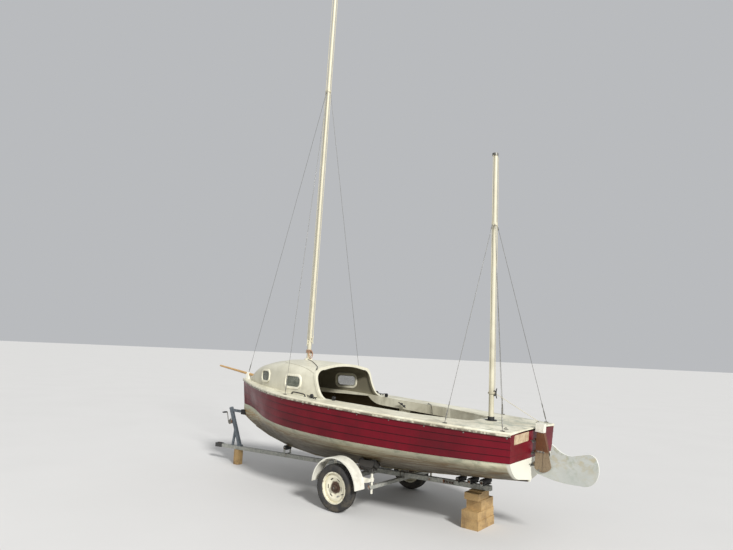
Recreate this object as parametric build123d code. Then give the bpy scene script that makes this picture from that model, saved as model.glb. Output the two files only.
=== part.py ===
from build123d import *
import math
import os

os.makedirs("parts", exist_ok=True)

# A small moulded clinker sailing dinghy with two masts and an open-backed cuddy, standing level
# on its single-axle road trailer. Millimetres. X forward, Y to port, Z up from the ground.
# Boat lengths are measured forward from the transom at the sheer, trailer lengths from the axle.

# Fits shared by every sub-part
seat_gap = 0.3
running_gap = 0.05
ground = 0.0

# Hull
transom_from_axle = -2172.0
hull_length = 5066.0
transom_sheer = 1153.0
sheer_slope = 0.0375
sheer_lift = 2.0e-6
paint_line_aft = 853.0
paint_line_low_x = 1000.0
paint_line_lift = 9.6e-6
strake_count = 4
land = 9.0
narrow_beam = 200.0
hull_wall = 10.0
transom_wall = 14.0
keel_half = 16.0
keel_band_half = 14.0
keel_depth = 12.0
skeg_depth = 22.0
skeg_length = 500.0
skeg_start = 4.0
stem_solid = 90.0
beyond_boat = 300.0

# columns: x at the sheer, x at the keel, half-beam at the sheer, half-beam at the paint line,
# height of the keel, half-breadth of the flat of floor, rise of floor in degrees
stations = [
    (0, 40, 645, 615, 612, 330, 9),
    (550, 550, 760, 733, 556, 400, 10),
    (1200, 1200, 852, 829, 498, 430, 12),
    (1900, 1900, 903, 882, 447, 430, 14),
    (2600, 2600, 915, 888, 414, 395, 17),
    (3300, 3300, 845, 795, 412, 325, 22),
    (3900, 3880, 650, 565, 470, 205, 32),
    (4450, 4340, 385, 275, 570, 90, 45),
    (4800, 4670, 178, 104, 678, 45, 58),
    (hull_length, 4975, 16, 16, 823, 15.5, 80),
]

# Deck moulding, with a rubbing strake of two beads along its edge
gunwale_height = 28.0
gunwale_wall = 11.0
gunwale_drop = 20.0
bead_bulge = 6.0
bead_groove = 1.0
bead_share = 0.55
deck_seat = 0.3
lip_gap = 2.5
deck_wall = 14.0
deck_camber = 7.0
widest_beam = 900.0
deck_depth_cut = 260.0

# Fascia that hangs from the deck round the cockpit, and the curve by which it ends under the cuddy: x, z
fascia_depth = 92.0
fascia_wall = 12.0
fascia_rise = [(2560.0, 1172.0), (2728.0, 1212.0), (2830.0, 1285.0)]
opening_corner = 110.0

# Opening in the deck, columns: x from the transom, half-width
opening_outline = [(655, 300), (1350, 500), (2830, 585), (3350, 545), (4050, 370), (4480, 170)]

# Cuddy shell, columns: x from the transom, half-width, roof height, corner size
cuddy_wall = 9.0
cuddy_sections = [
    (2540, 638, 1744, 150),
    (2830, 632, 1752, 150),
    (3300, 610, 1782, 155),
    (3800, 505, 1780, 150),
    (4200, 375, 1735, 130),
    (4500, 240, 1650, 95),
    (4700, 130, 1552, 60),
    (4835, 60, 1474, 30),
]
cuddy_below_sheer = 25.0
cuddy_end_margin = 20.0
cuddy_under_margin = 40.0

# Aft edge of the cuddy from the side: it drops from the roof and sweeps aft to the deck. x, z
cuddy_edge_top = (2830.0, 1640.0)
cuddy_edge_bend = (2803.0, 1520.0)
cuddy_edge_turn = (2749.0, 1400.0)
cuddy_foot_bend = (2690.0, 1330.0)
cuddy_foot_end = (2570.0, 1291.0)
rim_length = 30.0
rim_fall = 12.0
rim_out = 10.0
rim_in = 26.0

# Raised roof panel in plan: x and half-width of the points its two side arcs pass through
hood_raise = 6.0
hood_side = [(2700.0, 640.0), (3103.0, 562.0), (3441.0, 473.0)]
hood_shoulder = [(3640.0, 385.0), (3800.0, 275.0)]
hood_front_x = 3900.0

# Cuddy windows, columns: x of the middle, height of the middle, length, height
windows = [(4080, 1523, 250, 150), (3290, 1490, 330, 155)]
window_corner = 48.0
window_reach = 350.0
window_y = 450.0

# Inside of the boat
bench_height = 950.0
well_half = 330.0
sole_height = 640.0
liner_wall = 12.0
liner_gap = 0.5
liner_aft = 200.0
liner_front = 3950.0
liner_half = 900.0
bulkhead_x = 600.0
bulkhead_wall = 14.0
case_aft = 2150.0
case_length = 900.0
case_width = 80.0
case_top = 905.0
case_wall = 14.0
thwart_x = 1760.0
thwart_length = 190.0
thwart_half = 560.0
thwart_wall = 30.0
thwart_round = 10.0

# Main mast, its stays and the step on the cuddy roof
mast_x = 3582.0
mast_length = 6400.0
mast_rake = 1.3
mast_diameter = 64.0
mast_tip_diameter = 52.0
mast_foot_height = 1814.0
mast_step_diameter = 120.0
mast_step_depth = 110.0
hounds_height = 4370.0
hounds_wall = 5.0
hounds_length = 40.0
stay_diameter = 5.0
shroud_x = 3177.0

# Mizzen mast
mizzen_x = 523.0
mizzen_length = 3320.0
mizzen_rake = 0.5
mizzen_diameter = 62.0
mizzen_tip_diameter = 50.0
mizzen_hounds = 2370.0
mizzen_collar_diameter = 140.0
mizzen_collar_height = 45.0
mizzen_collar_base = 8.0
mizzen_collar_wall = 9.0
mizzen_stay_x = (713.0, 90.0)

# Turnbuckles and chainplates at the foot of each stay
turnbuckle_length = 170.0
turnbuckle_diameter = 13.0
turnbuckle_thread = 8.0
turnbuckle_neck = 32.0
chainplate_length = 46.0
chainplate_width = 20.0
chainplate_height = 8.0
chainplate_inset = 16.0
chainplate_lift = 1.5

# Bowsprit and its chock over the stem
bowsprit_foot = (4790.0, 1475.0)
bowsprit_tip = (5754.0, 1598.0)
bowsprit_diameter = 44.0
bowsprit_tip_diameter = 30.0
chock_x = 4965.0
chock_length = 56.0
chock_width = 72.0
chock_height = 120.0
strap_wall = 6.0

# Rudder, drawn with Z along the transom and X forward from its face
pintle_from_transom = 28.0
pintle_diameter = 12.0
pintle_eye_wall = 7.0
gudgeon_heights = (800.0, 930.0, 1060.0)
gudgeon_below = 22.0
gudgeon_width = 90.0
gudgeon_plate = 6.0
gudgeon_plate_height = 30.0
gudgeon_arm_width = 20.0
gudgeon_arm_height = 16.0
lug_height = 22.0
stock_width = 56.0
stock_top = 1150.0
stock_bottom = 722.0
stock_front_gap = 15.0
stock_top_length = 80.0
stock_heel = (185.0, 75.0)
stock_sole = (95.0, 4.0)
stock_toe = 36.0
blade_wall = 20.0
blade_gap = 1.5
blade_pivot_back = 52.0
blade_pivot_height = 742.0
blade_heel_radius = 48.0
heel_clearance = 5.0
heel_slot_length = 800.0
body_slot_ahead = 12.0
body_slot_height = 150.0
body_slot_length = 400.0
blade_pin = 12.0
blade_pin_out = 5.0
head_height = 95.0
head_length = 96.0
head_width = 68.0
head_ahead = 16.0
head_slot = (44.0, 50.0, 20.0, 12.0)

# Blade outline from its pivot as raised in the photo: middle of the arc or None for a line, end
blade_start = (10.0, 46.9)
blade_runs = [
    (None, (20.0, -43.0)),
    ((-215.0, -76.0), (-443.0, -63.0)),
    ((-560.0, -26.0), (-612.0, 56.0)),
    ((-622.0, 140.0), (-600.0, 226.0)),
    ((-567.0, 266.0), (-508.0, 275.0)),
    (None, (-345.0, 222.0)),
    ((-249.0, 229.0), (-170.0, 271.0)),
    (None, (-120.0, 302.0)),
    (None, (-100.0, 150.0)),
    (None, blade_start),
]

# Trailer wheels
wheel_track_outer = 910.0
tyre_diameter = 562.0
tyre_width = 145.0
rim_diameter = 362.0
rim_width = 112.0
rim_wall = 6.0
rim_lip = 8.0
disc_wall = 5.0
disc_slots = 6
disc_slot_radius = 108.0
hub_hole = 36.0
hub_diameter = 96.0
hub_flange = 20.0
hub_barrel = (34.0, 68.0, 24.0)
hub_out = 2.6

# Trailer frame
beam_top_at_axle = 400.0
beam_fall = 0.037
beam_width = 60.0
beam_height = 55.0
beam_front = 3330.0
beam_rear = -1660.0
coupling_bar = 140.0
coupling_head_x = 150.0
coupling_radius = 42.0
coupling_height = 62.0
ball_radius = 25.5
axle_tube = 50.0
axle_tube_ahead = 160.0
axle_tube_half = 715.0
arm_wall = 30.0
arm_end_radii = (36.0, 30.0)
stub_diameter = 30.0
stub_inset = 25.0

# Mudguards and their brackets
guard_x = -20.0
guard_rise = 15.0
guard_out = 9.0
guard_radius = 352.0
guard_wall = 4.0
guard_width = 175.0
guard_lip = 12.0
guard_lip_wall = 3.0
guard_end = 22.0
bracket_start = 690.0
bracket_reach = 920.0
bracket_wall = 6.0
bracket_width = 40.0
bracket_top = 640.0
bracket_rise = 100.0
aft_stay_outline = [(-235.0, 352.0), (-235.0, 452.0), (-445.0, 447.0), (-445.0, 405.0)]
clamp_radius = 26.0
clamp_height = 44.0
clamp_z = 426.0
clamp_lug = 34.0

# Side supports: a rod in the crossbar carries a rocker with two rubber rollers under the bilge
crossbar_x = -430.0
crossbar_size = 40.0
crossbar_half = 740.0
prop_y = 690.0
prop_diameter = 28.0
prop_bottom = 262.0
bilge_x = -350.0
bilge_y = 632.0
bilge_probe = 50.0
bilge_press = 1.0
wobble_radius = 42.0
wobble_length = 90.0
wobble_apart = 190.0
wobble_pin = 8.0
cheek_y = 52.0
cheek_wall = 6.0
cheek_end = 16.0
web_depth = 99.0
web_wall = 8.0
web_length = 210.0

# Keel rollers, columns: x from the axle, length of the roller
keel_roller_table = [(1750, 110), (-1270, 200), (-1430, 200), (-1590, 200)]
roller_radius = 36.0
roller_room = 14.0
roller_pin = 8.0
roller_fit = 0.3
roller_touch = 1.0
stand_length = 50.0
stand_wall = 6.0
stand_gap = 5.0
stand_cheek = 30.0
stand_over = 12.0

# Winch post, its brace and the arm that carries the bow rubber
post_foot_x = 2888.0
post_top_at = (3190.0, 905.0)
post_size = 50.0
post_shoe = (90.0, 50.0)
brace_foot_x = 3075.0
brace_top_at = (3030.0, 582.0)
brace_size = 32.0
bow_arm_z = 860.0
bow_arm_size = 40.0
bow_rubber_x = (2770.0, 2870.0)
bow_rubber = (90.0, 80.0)

# Timber under the trailer. Front block: aft end, length, width
front_block = (2855.0, 110.0, 100.0)
# Tail blocks from the ground up, columns: height, aft end, length along X, port end, starboard end
tail_blocks = [
    (100, -1622, 215, 250, -170),
    (95, -1612, 205, 244, -176),
    (112, -1606, 190, 140, -172),
    (76, -1596, 180, 196, -80),
]
slab_length = 170.0
slab_width = 190.0


def sheer(x):
    """Height of the sheer, a shallow parabola rising to the bow."""
    return transom_sheer + sheer_slope * x + sheer_lift * x * x


def paint_line(x):
    """Height of the lowest land, where red topsides meet the cream bottom."""
    return paint_line_aft + paint_line_lift * (x - paint_line_low_x) ** 2


def keel_height(x):
    """Height of the keel line between two stations, read along straight runs."""
    for a, b in zip(stations, stations[1:]):
        if a[1] <= x <= b[1]:
            return a[4] + (b[4] - a[4]) * (x - a[1]) / (b[1] - a[1])
    return stations[0][4]


def half_beam(x):
    """Half-beam at the sheer between two stations, read along straight runs."""
    for a, b in zip(stations, stations[1:]):
        if a[0] <= x <= b[0]:
            return a[2] + (b[2] - a[2]) * (x - a[0]) / (b[0] - a[0])
    return stations[0][2]


def deck_top(x, y):
    """Height of the deck's cambered top."""
    width = half_beam(x) + lip_gap + gunwale_wall
    return sheer(x) + gunwale_height + deck_camber * width / widest_beam * (1 - (y / width) ** 2)


def station_x(row, z):
    """X of a station's plane at height z: the plane leans from the sheer to the keel."""
    top = sheer(row[0])
    return row[0] + (row[1] - row[0]) * (top - z) / (top - row[4])


def flat_face(points):
    """Face in the plane Y = 0 from x, z points."""
    return Face(Wire(Polyline(*[(x, 0, z) for x, z in points], close=True).edges()))


def both_ways(face, half):
    """Face in the plane Y = 0 made thick to both sides."""
    return extrude(face, half, dir=(0, 1, 0), both=True)


def bilge_middle(foot, rise, top):
    """Middle of the arc that leaves the floor at foot along the rise and ends at top."""
    nx, nz = -math.sin(rise), math.cos(rise)
    dy, dz = top[0] - foot[0], top[1] - foot[1]
    radius = (dy * dy + dz * dz) / (2 * max(dy * nx + dz * nz, 1e-3))
    cy, cz = foot[0] + nx * radius, foot[1] + nz * radius
    my, mz = (foot[0] + top[0]) / 2 - cy, (foot[1] + top[1]) / 2 - cz
    size = math.hypot(my, mz)
    return cy + my / size * radius, cz + mz / size * radius


def mirrored_section(row, runs):
    """Closed section of a station from runs (start, middle or None, end) down its port side."""

    def at(y, z):
        return Vector(station_x(row, z), y, z)

    def edge(start, middle, end):
        if middle:
            return ThreePointArc(at(*start), at(*middle), at(*end)).edge()
        return Line(at(*start), at(*end)).edge()

    def over(point):
        return (-point[0], point[1]) if point else None

    low, high = runs[-1][2], runs[0][0]
    edges = [edge(*run) for run in runs]
    edges.append(edge(low, None, over(low)))
    edges += [edge(over(end), over(middle), over(start)) for start, middle, end in reversed(runs)]
    edges.append(edge(over(high), None, high))
    return Wire(edges)


def floor_point(row, inset):
    """Outer end of the flat of floor, moved inwards by inset."""
    keel_y = max(keel_half - inset, 4.0)
    y = max(row[5] - inset, keel_y + 1.0)
    rise = math.radians(row[6])
    return keel_y, y, row[4] + inset + (y - keel_y) * math.tan(rise), rise


def outer_section(row, grow=0.0):
    """Outside of the hull at a station: lapped strakes, then the bilge arc and the floor."""
    top = (row[2] + grow, sheer(row[0]))
    low = (row[3] + grow, paint_line(row[0]))
    step = land * min(1.0, row[3] / narrow_beam)
    runs = []
    last = top
    for i in range(1, strake_count + 1):
        share = i / strake_count
        y = top[0] + (low[0] - top[0]) * share
        z = top[1] + (low[1] - top[1]) * share
        runs.append((last, None, (y + step, z)))
        runs.append(((y + step, z), None, (y, z)))
        last = (y, z)
    keel_y, floor_y, floor_z, rise = floor_point(row, -grow)
    runs.append((last, bilge_middle((floor_y, floor_z), rise, low), (floor_y, floor_z)))
    runs.append(((floor_y, floor_z), None, (keel_y, row[4] - grow)))
    return mirrored_section(row, runs)


def inner_section(row, inset, rise_above=80.0):
    """Inside of the hull at a station, carried up past the sheer so that it cuts the top open."""
    top = (max(row[2] - inset, 6.0), sheer(row[0]) + rise_above)
    low = (max(row[3] - inset, 5.5), paint_line(row[0]))
    keel_y, floor_y, floor_z, rise = floor_point(row, inset)
    floor = (min(floor_y, low[0] - 0.2), floor_z)
    runs = [(top, None, low), (low, bilge_middle(floor, rise, low), floor),
            (floor, None, (keel_y, row[4] + inset))]
    return mirrored_section(row, runs)


def hull_outside(grow=0.0):
    return Solid.make_loft([outer_section(row, grow) for row in stations])


def hull_inside(inset, aft):
    """The space inside the hull, from the transom's inner face to the solid stem."""
    first = list(stations[0])
    first[0] += aft
    first[1] += aft
    last = list(stations[-1])
    last[0] -= stem_solid
    last[1] -= stem_solid
    last[4] += stem_solid
    return Solid.make_loft([inner_section(row, inset) for row in [first] + stations[1:-1] + [last]])


def curve_edge(height, x0, x1):
    """Edge along a height curve over x: an arc, or a line where the curve is straight."""
    a, b, c = ((x, 0, height(x)) for x in (x0, (x0 + x1) / 2, x1))
    if abs(a[2] + c[2] - 2 * b[2]) < 0.01:
        return Line(a, c).edge()
    return ThreePointArc(a, b, c).edge()


def side_region(low, high):
    """Block between two curves over x, wider than the boat, for trimming along the sheer or paint line."""
    x0, x1 = -beyond_boat, hull_length + beyond_boat
    ends = [Line((x1, 0, high(x1)), (x1, 0, low(x1))).edge(), Line((x0, 0, low(x0)), (x0, 0, high(x0))).edge()]
    outline = Wire([curve_edge(high, x0, x1), ends[0], curve_edge(low, x1, x0), ends[1]])
    return both_ways(Face(outline), 1200.0)


def keel_bar():
    """Keel band along the centreline, deeper at the skeg under the stern."""
    aft = stations[0][1] + skeg_start
    upper = [(row[1], row[4] + hull_wall * 0.6) for row in stations[:-1]]
    upper[0] = (aft, upper[0][1])
    lower = [(aft, stations[0][4] - skeg_depth), (aft + skeg_length, keel_height(aft + skeg_length) - keel_depth)]
    lower += [(row[1], row[4] - keel_depth) for row in stations[2:-1]]
    return both_ways(flat_face(upper + lower[::-1]), keel_band_half)


def deck_section(row, lift=0.0):
    """Deck at a station: cambered top, beaded gunwale that laps outside the hull, and the underside."""
    width = row[2] + lip_gap + gunwale_wall
    base = sheer(row[0])
    top = base + gunwale_height + lift
    crown = top + deck_camber * width / widest_beam
    foot = base - gunwale_drop
    groove = top + (foot - top) * bead_share
    inner = width - gunwale_wall
    seat = base + deck_seat
    under = max(crown - deck_wall, seat + 2.0)

    def at(y, z):
        return Vector(station_x(row, z), y, z)

    def side(sign):
        """Edges from the deck's top edge down round both beads to the seat on the hull."""
        out = sign * (width + bead_bulge)
        points = [(sign * width, top), (sign * (width + bead_groove), groove), (sign * width, foot),
                  (sign * inner, foot), (sign * inner, seat)]
        upper = ThreePointArc(at(*points[0]), at(out, (top + groove) / 2), at(*points[1]))
        lower = ThreePointArc(at(*points[1]), at(out, (groove + foot) / 2), at(*points[2]))
        rest = [Line(at(*a), at(*b)) for a, b in zip(points[2:], points[3:])]
        return [c.edge() for c in [upper, lower] + rest]

    edges = [ThreePointArc(at(width, top), at(0, crown), at(-width, top)).edge()] + side(-1)
    edges.append(ThreePointArc(at(-inner, seat), at(0, under), at(inner, seat)).edge())
    return Wire(edges + side(1)[::-1])


def deck_block_section(row, lift, depth):
    """Deck's outline with a flat bottom, for cutting what stands on the deck."""
    width = row[2] + lip_gap + gunwale_wall
    top = sheer(row[0]) + gunwale_height + lift

    def at(y, z):
        return Vector(station_x(row, z), y, z)

    crown = top + deck_camber * width / widest_beam
    corners = [(-width, top), (-width, top - depth), (width, top - depth), (width, top)]
    edges = [ThreePointArc(at(width, top), at(0, crown), at(-width, top)).edge()]
    return Wire(edges + [Line(at(*a), at(*b)).edge() for a, b in zip(corners, corners[1:])])


def opening_face(grow=0.0):
    """Plan of the cockpit and cuddy opening, its four end corners rounded."""
    points = opening_outline + [(x, -y) for x, y in opening_outline[::-1]]
    face = Face(Wire(Polyline(*[(x, y, 0) for x, y in points], close=True).edges()))
    ends = (opening_outline[0][0], opening_outline[-1][0])
    face = face.fillet_2d(opening_corner, [v for v in face.vertices() if round(v.X) in ends])
    return offset(face, grow) if grow else face


def opening_prism(grow=0.0):
    return extrude(Pos(0, 0, 900) * opening_face(grow), 900, dir=(0, 0, 1))


def cuddy_section(x, half, roof, corner, grow, drop):
    """Section of the cuddy: leaning sides, round corners and a cambered roof."""
    half, roof = half + grow, roof + grow
    corner = min(corner, half * 0.8)
    low = sheer(x) - cuddy_below_sheer - drop
    shoulder = (half - 0.03 * (roof - low), roof - corner * 1.15)
    crown_edge = (shoulder[0] - corner, roof - corner * 0.34)
    middle = (shoulder[0] - corner * 0.25, roof - corner * 0.62)

    def arc(a, b, c):
        return ThreePointArc(Vector(x, *a), Vector(x, *b), Vector(x, *c)).edge()

    def line(a, b):
        return Line(Vector(x, *a), Vector(x, *b)).edge()

    def over(point):
        return (-point[0], point[1])

    return Wire([line((half, low), shoulder), arc(shoulder, middle, crown_edge),
                 arc(crown_edge, (0, roof), over(crown_edge)),
                 arc(over(crown_edge), over(middle), over(shoulder)),
                 line(over(shoulder), (-half, low)), line((-half, low), (half, low))])


def cuddy_solid(grow=0.0, aft=0.0, front=0.0, drop=0.0):
    """Solid inside the cuddy's skin, grown or shrunk, with its ends moved."""
    rows = [list(row) for row in cuddy_sections]
    rows[0][0] -= aft
    rows[-1][0] -= front
    return Solid.make_loft([cuddy_section(*row, grow, drop) for row in rows])


def cuddy_keep():
    """Block forward of the cuddy's aft edge: down from the roof, then swept aft to the deck."""
    def at(point):
        return (point[0], 0, point[1])

    over_roof = (cuddy_edge_top[0], 2000.0)
    far, low = hull_length, 900.0
    edges = [Line(at(over_roof), at(cuddy_edge_top)).edge(),
             ThreePointArc(at(cuddy_edge_top), at(cuddy_edge_bend), at(cuddy_edge_turn)).edge(),
             ThreePointArc(at(cuddy_edge_turn), at(cuddy_foot_bend), at(cuddy_foot_end)).edge()]
    corners = [cuddy_foot_end, (cuddy_foot_end[0], low), (far, low), (far, over_roof[1]), over_roof]
    edges += [Line(at(a), at(b)).edge() for a, b in zip(corners, corners[1:])]
    return both_ways(Face(Wire(edges)), 1200.0)


def hood_prism():
    """Block over the raised roof panel, drawn in plan with arcs along its sides and front."""
    def at(x, y):
        return (x, y, 0)

    port = [at(*p) for p in hood_side + hood_shoulder]
    board = [at(x, -y) for x, y in hood_side + hood_shoulder]
    edges = [ThreePointArc(port[0], port[1], port[2]).edge(), ThreePointArc(port[2], port[3], port[4]).edge(),
             ThreePointArc(port[4], at(hood_front_x, 0), board[4]).edge(),
             ThreePointArc(board[4], board[3], board[2]).edge(), ThreePointArc(board[2], board[1], board[0]).edge(),
             Line(board[0], port[0]).edge()]
    return extrude(Pos(0, 0, 1000.0) * Face(Wire(edges)), 1200.0, dir=(0, 0, 1))


def window_prism(x, z, length, height, side, inset=0.0):
    """Rounded block through one side of the cuddy, smaller all round by inset."""
    shape = RectangleRounded(length - 2 * inset, height - 2 * inset, window_corner)
    return Pos(x, side * window_y, z) * Rot(X=90) * extrude(shape, window_reach, both=True)


def spar(foot, tip, foot_diameter, tip_diameter):
    """Round spar between two points."""
    axis = Vector(tip) - Vector(foot)
    return Solid.make_cone(foot_diameter / 2, tip_diameter / 2, axis.length, Plane(origin=foot, z_dir=axis))


def rod(start, end, diameter):
    axis = Vector(end) - Vector(start)
    return Solid.make_cylinder(diameter / 2, axis.length, Plane(origin=start, z_dir=axis))


def square_bar(start, end, size):
    """Square bar between two points in the plane Y = 0."""
    axis = Vector(end) - Vector(start)
    middle = Vector(start) + axis * 0.5
    return Plane(origin=middle, x_dir=(0, 1, 0), z_dir=axis) * Box(size, size, axis.length)


nodes = {}


def keep(name, *solids):
    nodes[name] = list(solids)


def boat(shape):
    """Moves a shape drawn from the transom to its place over the trailer's axle."""
    return Pos(transom_from_axle, 0, 0) * shape


# Hull, split just under the lowest land
hull = hull_outside() - hull_inside(hull_wall, transom_wall) + keel_bar()
below = side_region(lambda x: -200.0, lambda x: paint_line(x) - 3.0)
keep("hull_topsides", boat(hull - below))
keep("hull_bottom", boat(hull & below))

# Deck moulding with its fascia round the opening
opening = opening_prism()
fascia = opening_prism(fascia_wall) - opening
fascia = fascia & side_region(lambda x: sheer(x) - fascia_depth, lambda x: sheer(x) + gunwale_height / 2)
rise_arc = ThreePointArc(*[(x, 0, z) for x, z in fascia_rise])
rise_corners = [fascia_rise[-1], (hull_length, fascia_rise[-1][1]), (hull_length, 0.0), (fascia_rise[0][0], 0.0),
                fascia_rise[0]]
rise_edges = [Line((a[0], 0, a[1]), (b[0], 0, b[1])).edge() for a, b in zip(rise_corners, rise_corners[1:])]
fascia = fascia - both_ways(Face(Wire([rise_arc.edge()] + rise_edges)), 1200.0)
deck = Solid.make_loft([deck_section(row) for row in stations]) - opening + fascia
keep("deck_moulding", boat(deck))

# Cuddy: skin, raised roof panel, flanged aft rim, windows and panes
under_deck = Solid.make_loft([deck_block_section(row, deck_seat, deck_depth_cut) for row in stations])
keep_forward = cuddy_keep()
hollow = cuddy_solid(grow=-cuddy_wall, aft=cuddy_end_margin, front=cuddy_wall, drop=cuddy_under_margin)
cuddy_skin = cuddy_solid() + (cuddy_solid(grow=hood_raise) & hood_prism())
cuddy_skin = (cuddy_skin - hollow) & keep_forward
rim_band = keep_forward - Pos(rim_length, 0, -rim_fall) * keep_forward
rim_hollow = cuddy_solid(grow=-rim_in, aft=cuddy_end_margin, front=cuddy_wall, drop=cuddy_under_margin)
rim = (cuddy_solid(grow=rim_out) - rim_hollow) & rim_band
cuddy_skin = cuddy_skin + rim - under_deck
panes = []
for row in windows:
    for side in (1, -1):
        panes.append(cuddy_skin & window_prism(*row, side, seat_gap))
        cuddy_skin = cuddy_skin - window_prism(*row, side)
keep("cuddy", boat(cuddy_skin))
keep("cuddy_panes", *[boat(pane) for pane in panes])

# Cockpit liner, bulkhead, centreplate case and thwart
inside = hull_inside(hull_wall + liner_gap, transom_wall + liner_gap)
tray = [(-liner_half, bench_height), (-well_half, bench_height), (-well_half, sole_height),
        (well_half, sole_height), (well_half, bench_height), (liner_half, bench_height)]
outside_half = well_half + liner_wall
tray += [(liner_half, bench_height - liner_wall), (outside_half, bench_height - liner_wall),
         (outside_half, sole_height - liner_wall), (-outside_half, sole_height - liner_wall),
         (-outside_half, bench_height - liner_wall), (-liner_half, bench_height - liner_wall)]
tray_face = Face(Wire(Polyline(*[(0, y, z) for y, z in tray], close=True).edges()))
liner = Pos(liner_aft, 0, 0) * extrude(tray_face, liner_front - liner_aft, dir=(1, 0, 0)) & inside
keep("cockpit_liner", boat(liner))
bulkhead = Pos(bulkhead_x, 0, bench_height) * Box(bulkhead_wall, 2000, 1000) & inside
bulkhead = bulkhead & side_region(lambda x: bench_height + seat_gap, lambda x: sheer(x) - 1.0)
keep("aft_bulkhead", boat(bulkhead))
case_foot = sole_height + seat_gap
case_box = Box(case_length, case_width, case_top - case_foot)
case_hollow = Box(case_length - 2 * case_wall, case_width - 2 * case_wall, case_top - case_foot)
case = Pos(case_aft + case_length / 2, 0, (case_foot + case_top) / 2) * (case_box - Pos(0, 0, case_wall) * case_hollow)
keep("centreplate_case", boat(case))
thwart_shape = extrude(RectangleRounded(thwart_length, 2 * thwart_half, thwart_round), thwart_wall)
keep("thwart", boat(Pos(thwart_x, 0, bench_height + seat_gap) * thwart_shape & inside))

# Mast step and main mast
mast_up = Vector(-math.sin(math.radians(mast_rake)), 0, math.cos(math.radians(mast_rake)))
step = Pos(mast_x, 0, mast_foot_height - 1.0 - mast_step_depth / 2) * Cylinder(mast_step_diameter / 2, mast_step_depth)
keep("mast_step", boat(step - cuddy_solid(grow=hood_raise + seat_gap)))
mast_foot = Vector(mast_x, 0, mast_foot_height)
mast = spar(mast_foot, mast_foot + mast_up * mast_length, mast_diameter, mast_tip_diameter)
hounds_at = mast_foot + mast_up * hounds_height
hounds_diameter = mast_diameter + 2 * hounds_wall
keep("main_mast", boat(mast + rod(hounds_at, hounds_at + mast_up * hounds_length, hounds_diameter)))


def turnbuckle(start, along):
    """Rigging screw: a thick barrel between two thinner threads, turned about its own axis."""
    thread, barrel = turnbuckle_thread / 2, turnbuckle_diameter / 2
    neck, end = turnbuckle_neck, turnbuckle_length
    profile = [(0, 0), (thread, 0), (thread, neck), (barrel, neck + barrel), (barrel, end - neck - barrel),
               (thread, end - neck), (thread, end), (0, end)]
    return Plane(origin=start, z_dir=along) * revolve(flat_face(profile), Axis.Z)


def stay(foot, head, head_radius, up):
    """Chainplate, turnbuckle and wire of one stay, each seated on the one below."""
    flat = Vector(foot.X - head.X, foot.Y - head.Y, 0)
    top = head + flat.normalized() * (head_radius + stay_diameter / 2 + seat_gap) + up * (hounds_length / 2)
    along = (top - foot).normalized()
    tilt = math.hypot(along.X, along.Y)
    start = foot + along * ((turnbuckle_thread / 2 * tilt + seat_gap) / along.Z)
    wire_foot = start + along * (turnbuckle_length + seat_gap)
    plate = Pos(foot.X, foot.Y, foot.Z - chainplate_height / 2) * Box(
        chainplate_length, chainplate_width, chainplate_height)
    return plate, turnbuckle(start, along), rod(wire_foot, top, stay_diameter)


def deck_edge_stay(x, side, head, head_radius, up):
    """Stay from a chainplate near the deck's edge."""
    y = half_beam(x) - chainplate_inset
    foot = Vector(x, side * y, deck_top(x, y) + chainplate_height + chainplate_lift)
    return stay(foot, head, head_radius, up)


shrouds = [deck_edge_stay(shroud_x, side, hounds_at, hounds_diameter / 2, mast_up) for side in (1, -1)]
sprit_run = Vector(bowsprit_tip[0] - bowsprit_foot[0], 0, bowsprit_tip[1] - bowsprit_foot[1])
sprit_share = (chock_x - bowsprit_foot[0]) / sprit_run.X
sprit_z = bowsprit_foot[1] + sprit_run.Z * sprit_share
sprit_radius = (bowsprit_diameter + (bowsprit_tip_diameter - bowsprit_diameter) * sprit_share) / 2
forestay_foot = Vector(chock_x, 0, sprit_z + sprit_radius + strap_wall + 2.0)
forestay = stay(forestay_foot, hounds_at, hounds_diameter / 2, mast_up)

# Mizzen mast, its collar and its four stays
mizzen_up = Vector(-math.sin(math.radians(mizzen_rake)), 0, math.cos(math.radians(mizzen_rake)))
mizzen_deck = deck_top(mizzen_x, 0)
mizzen_foot = Vector(mizzen_x, 0, mizzen_deck + 1.8)
mizzen = spar(mizzen_foot, mizzen_foot + mizzen_up * mizzen_length, mizzen_diameter, mizzen_tip_diameter)
mizzen_head = mizzen_foot + mizzen_up * mizzen_hounds
mizzen_band_diameter = mizzen_diameter + 2 * hounds_wall
mizzen_band = rod(mizzen_head, mizzen_head + mizzen_up * hounds_length, mizzen_band_diameter)
keep("mizzen_mast", boat(mizzen + mizzen_band))
collar = Pos(0, 0, mizzen_collar_height / 2) * Cylinder(mizzen_diameter / 2 + mizzen_collar_wall, mizzen_collar_height)
collar = collar + Cylinder(mizzen_collar_diameter / 2, 2 * mizzen_collar_base)
collar = collar - Cylinder(mizzen_diameter / 2 + 0.7, 4 * mizzen_collar_height)
keep("mizzen_collar", boat(Pos(mizzen_x, 0, mizzen_deck) * collar - under_deck))
mizzen_stays = [deck_edge_stay(x, side, mizzen_head, mizzen_band_diameter / 2, mizzen_up)
                for x in mizzen_stay_x for side in (1, -1)]
keep("chainplates", *[boat(s[0] - under_deck) for s in shrouds + mizzen_stays])
keep("turnbuckles", *[boat(s[1]) for s in shrouds + mizzen_stays + [forestay]])
keep("main_shrouds", *[boat(s[2]) for s in shrouds])
keep("forestay", boat(forestay[2]))
keep("mizzen_stays", *[boat(s[2]) for s in mizzen_stays])

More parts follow.
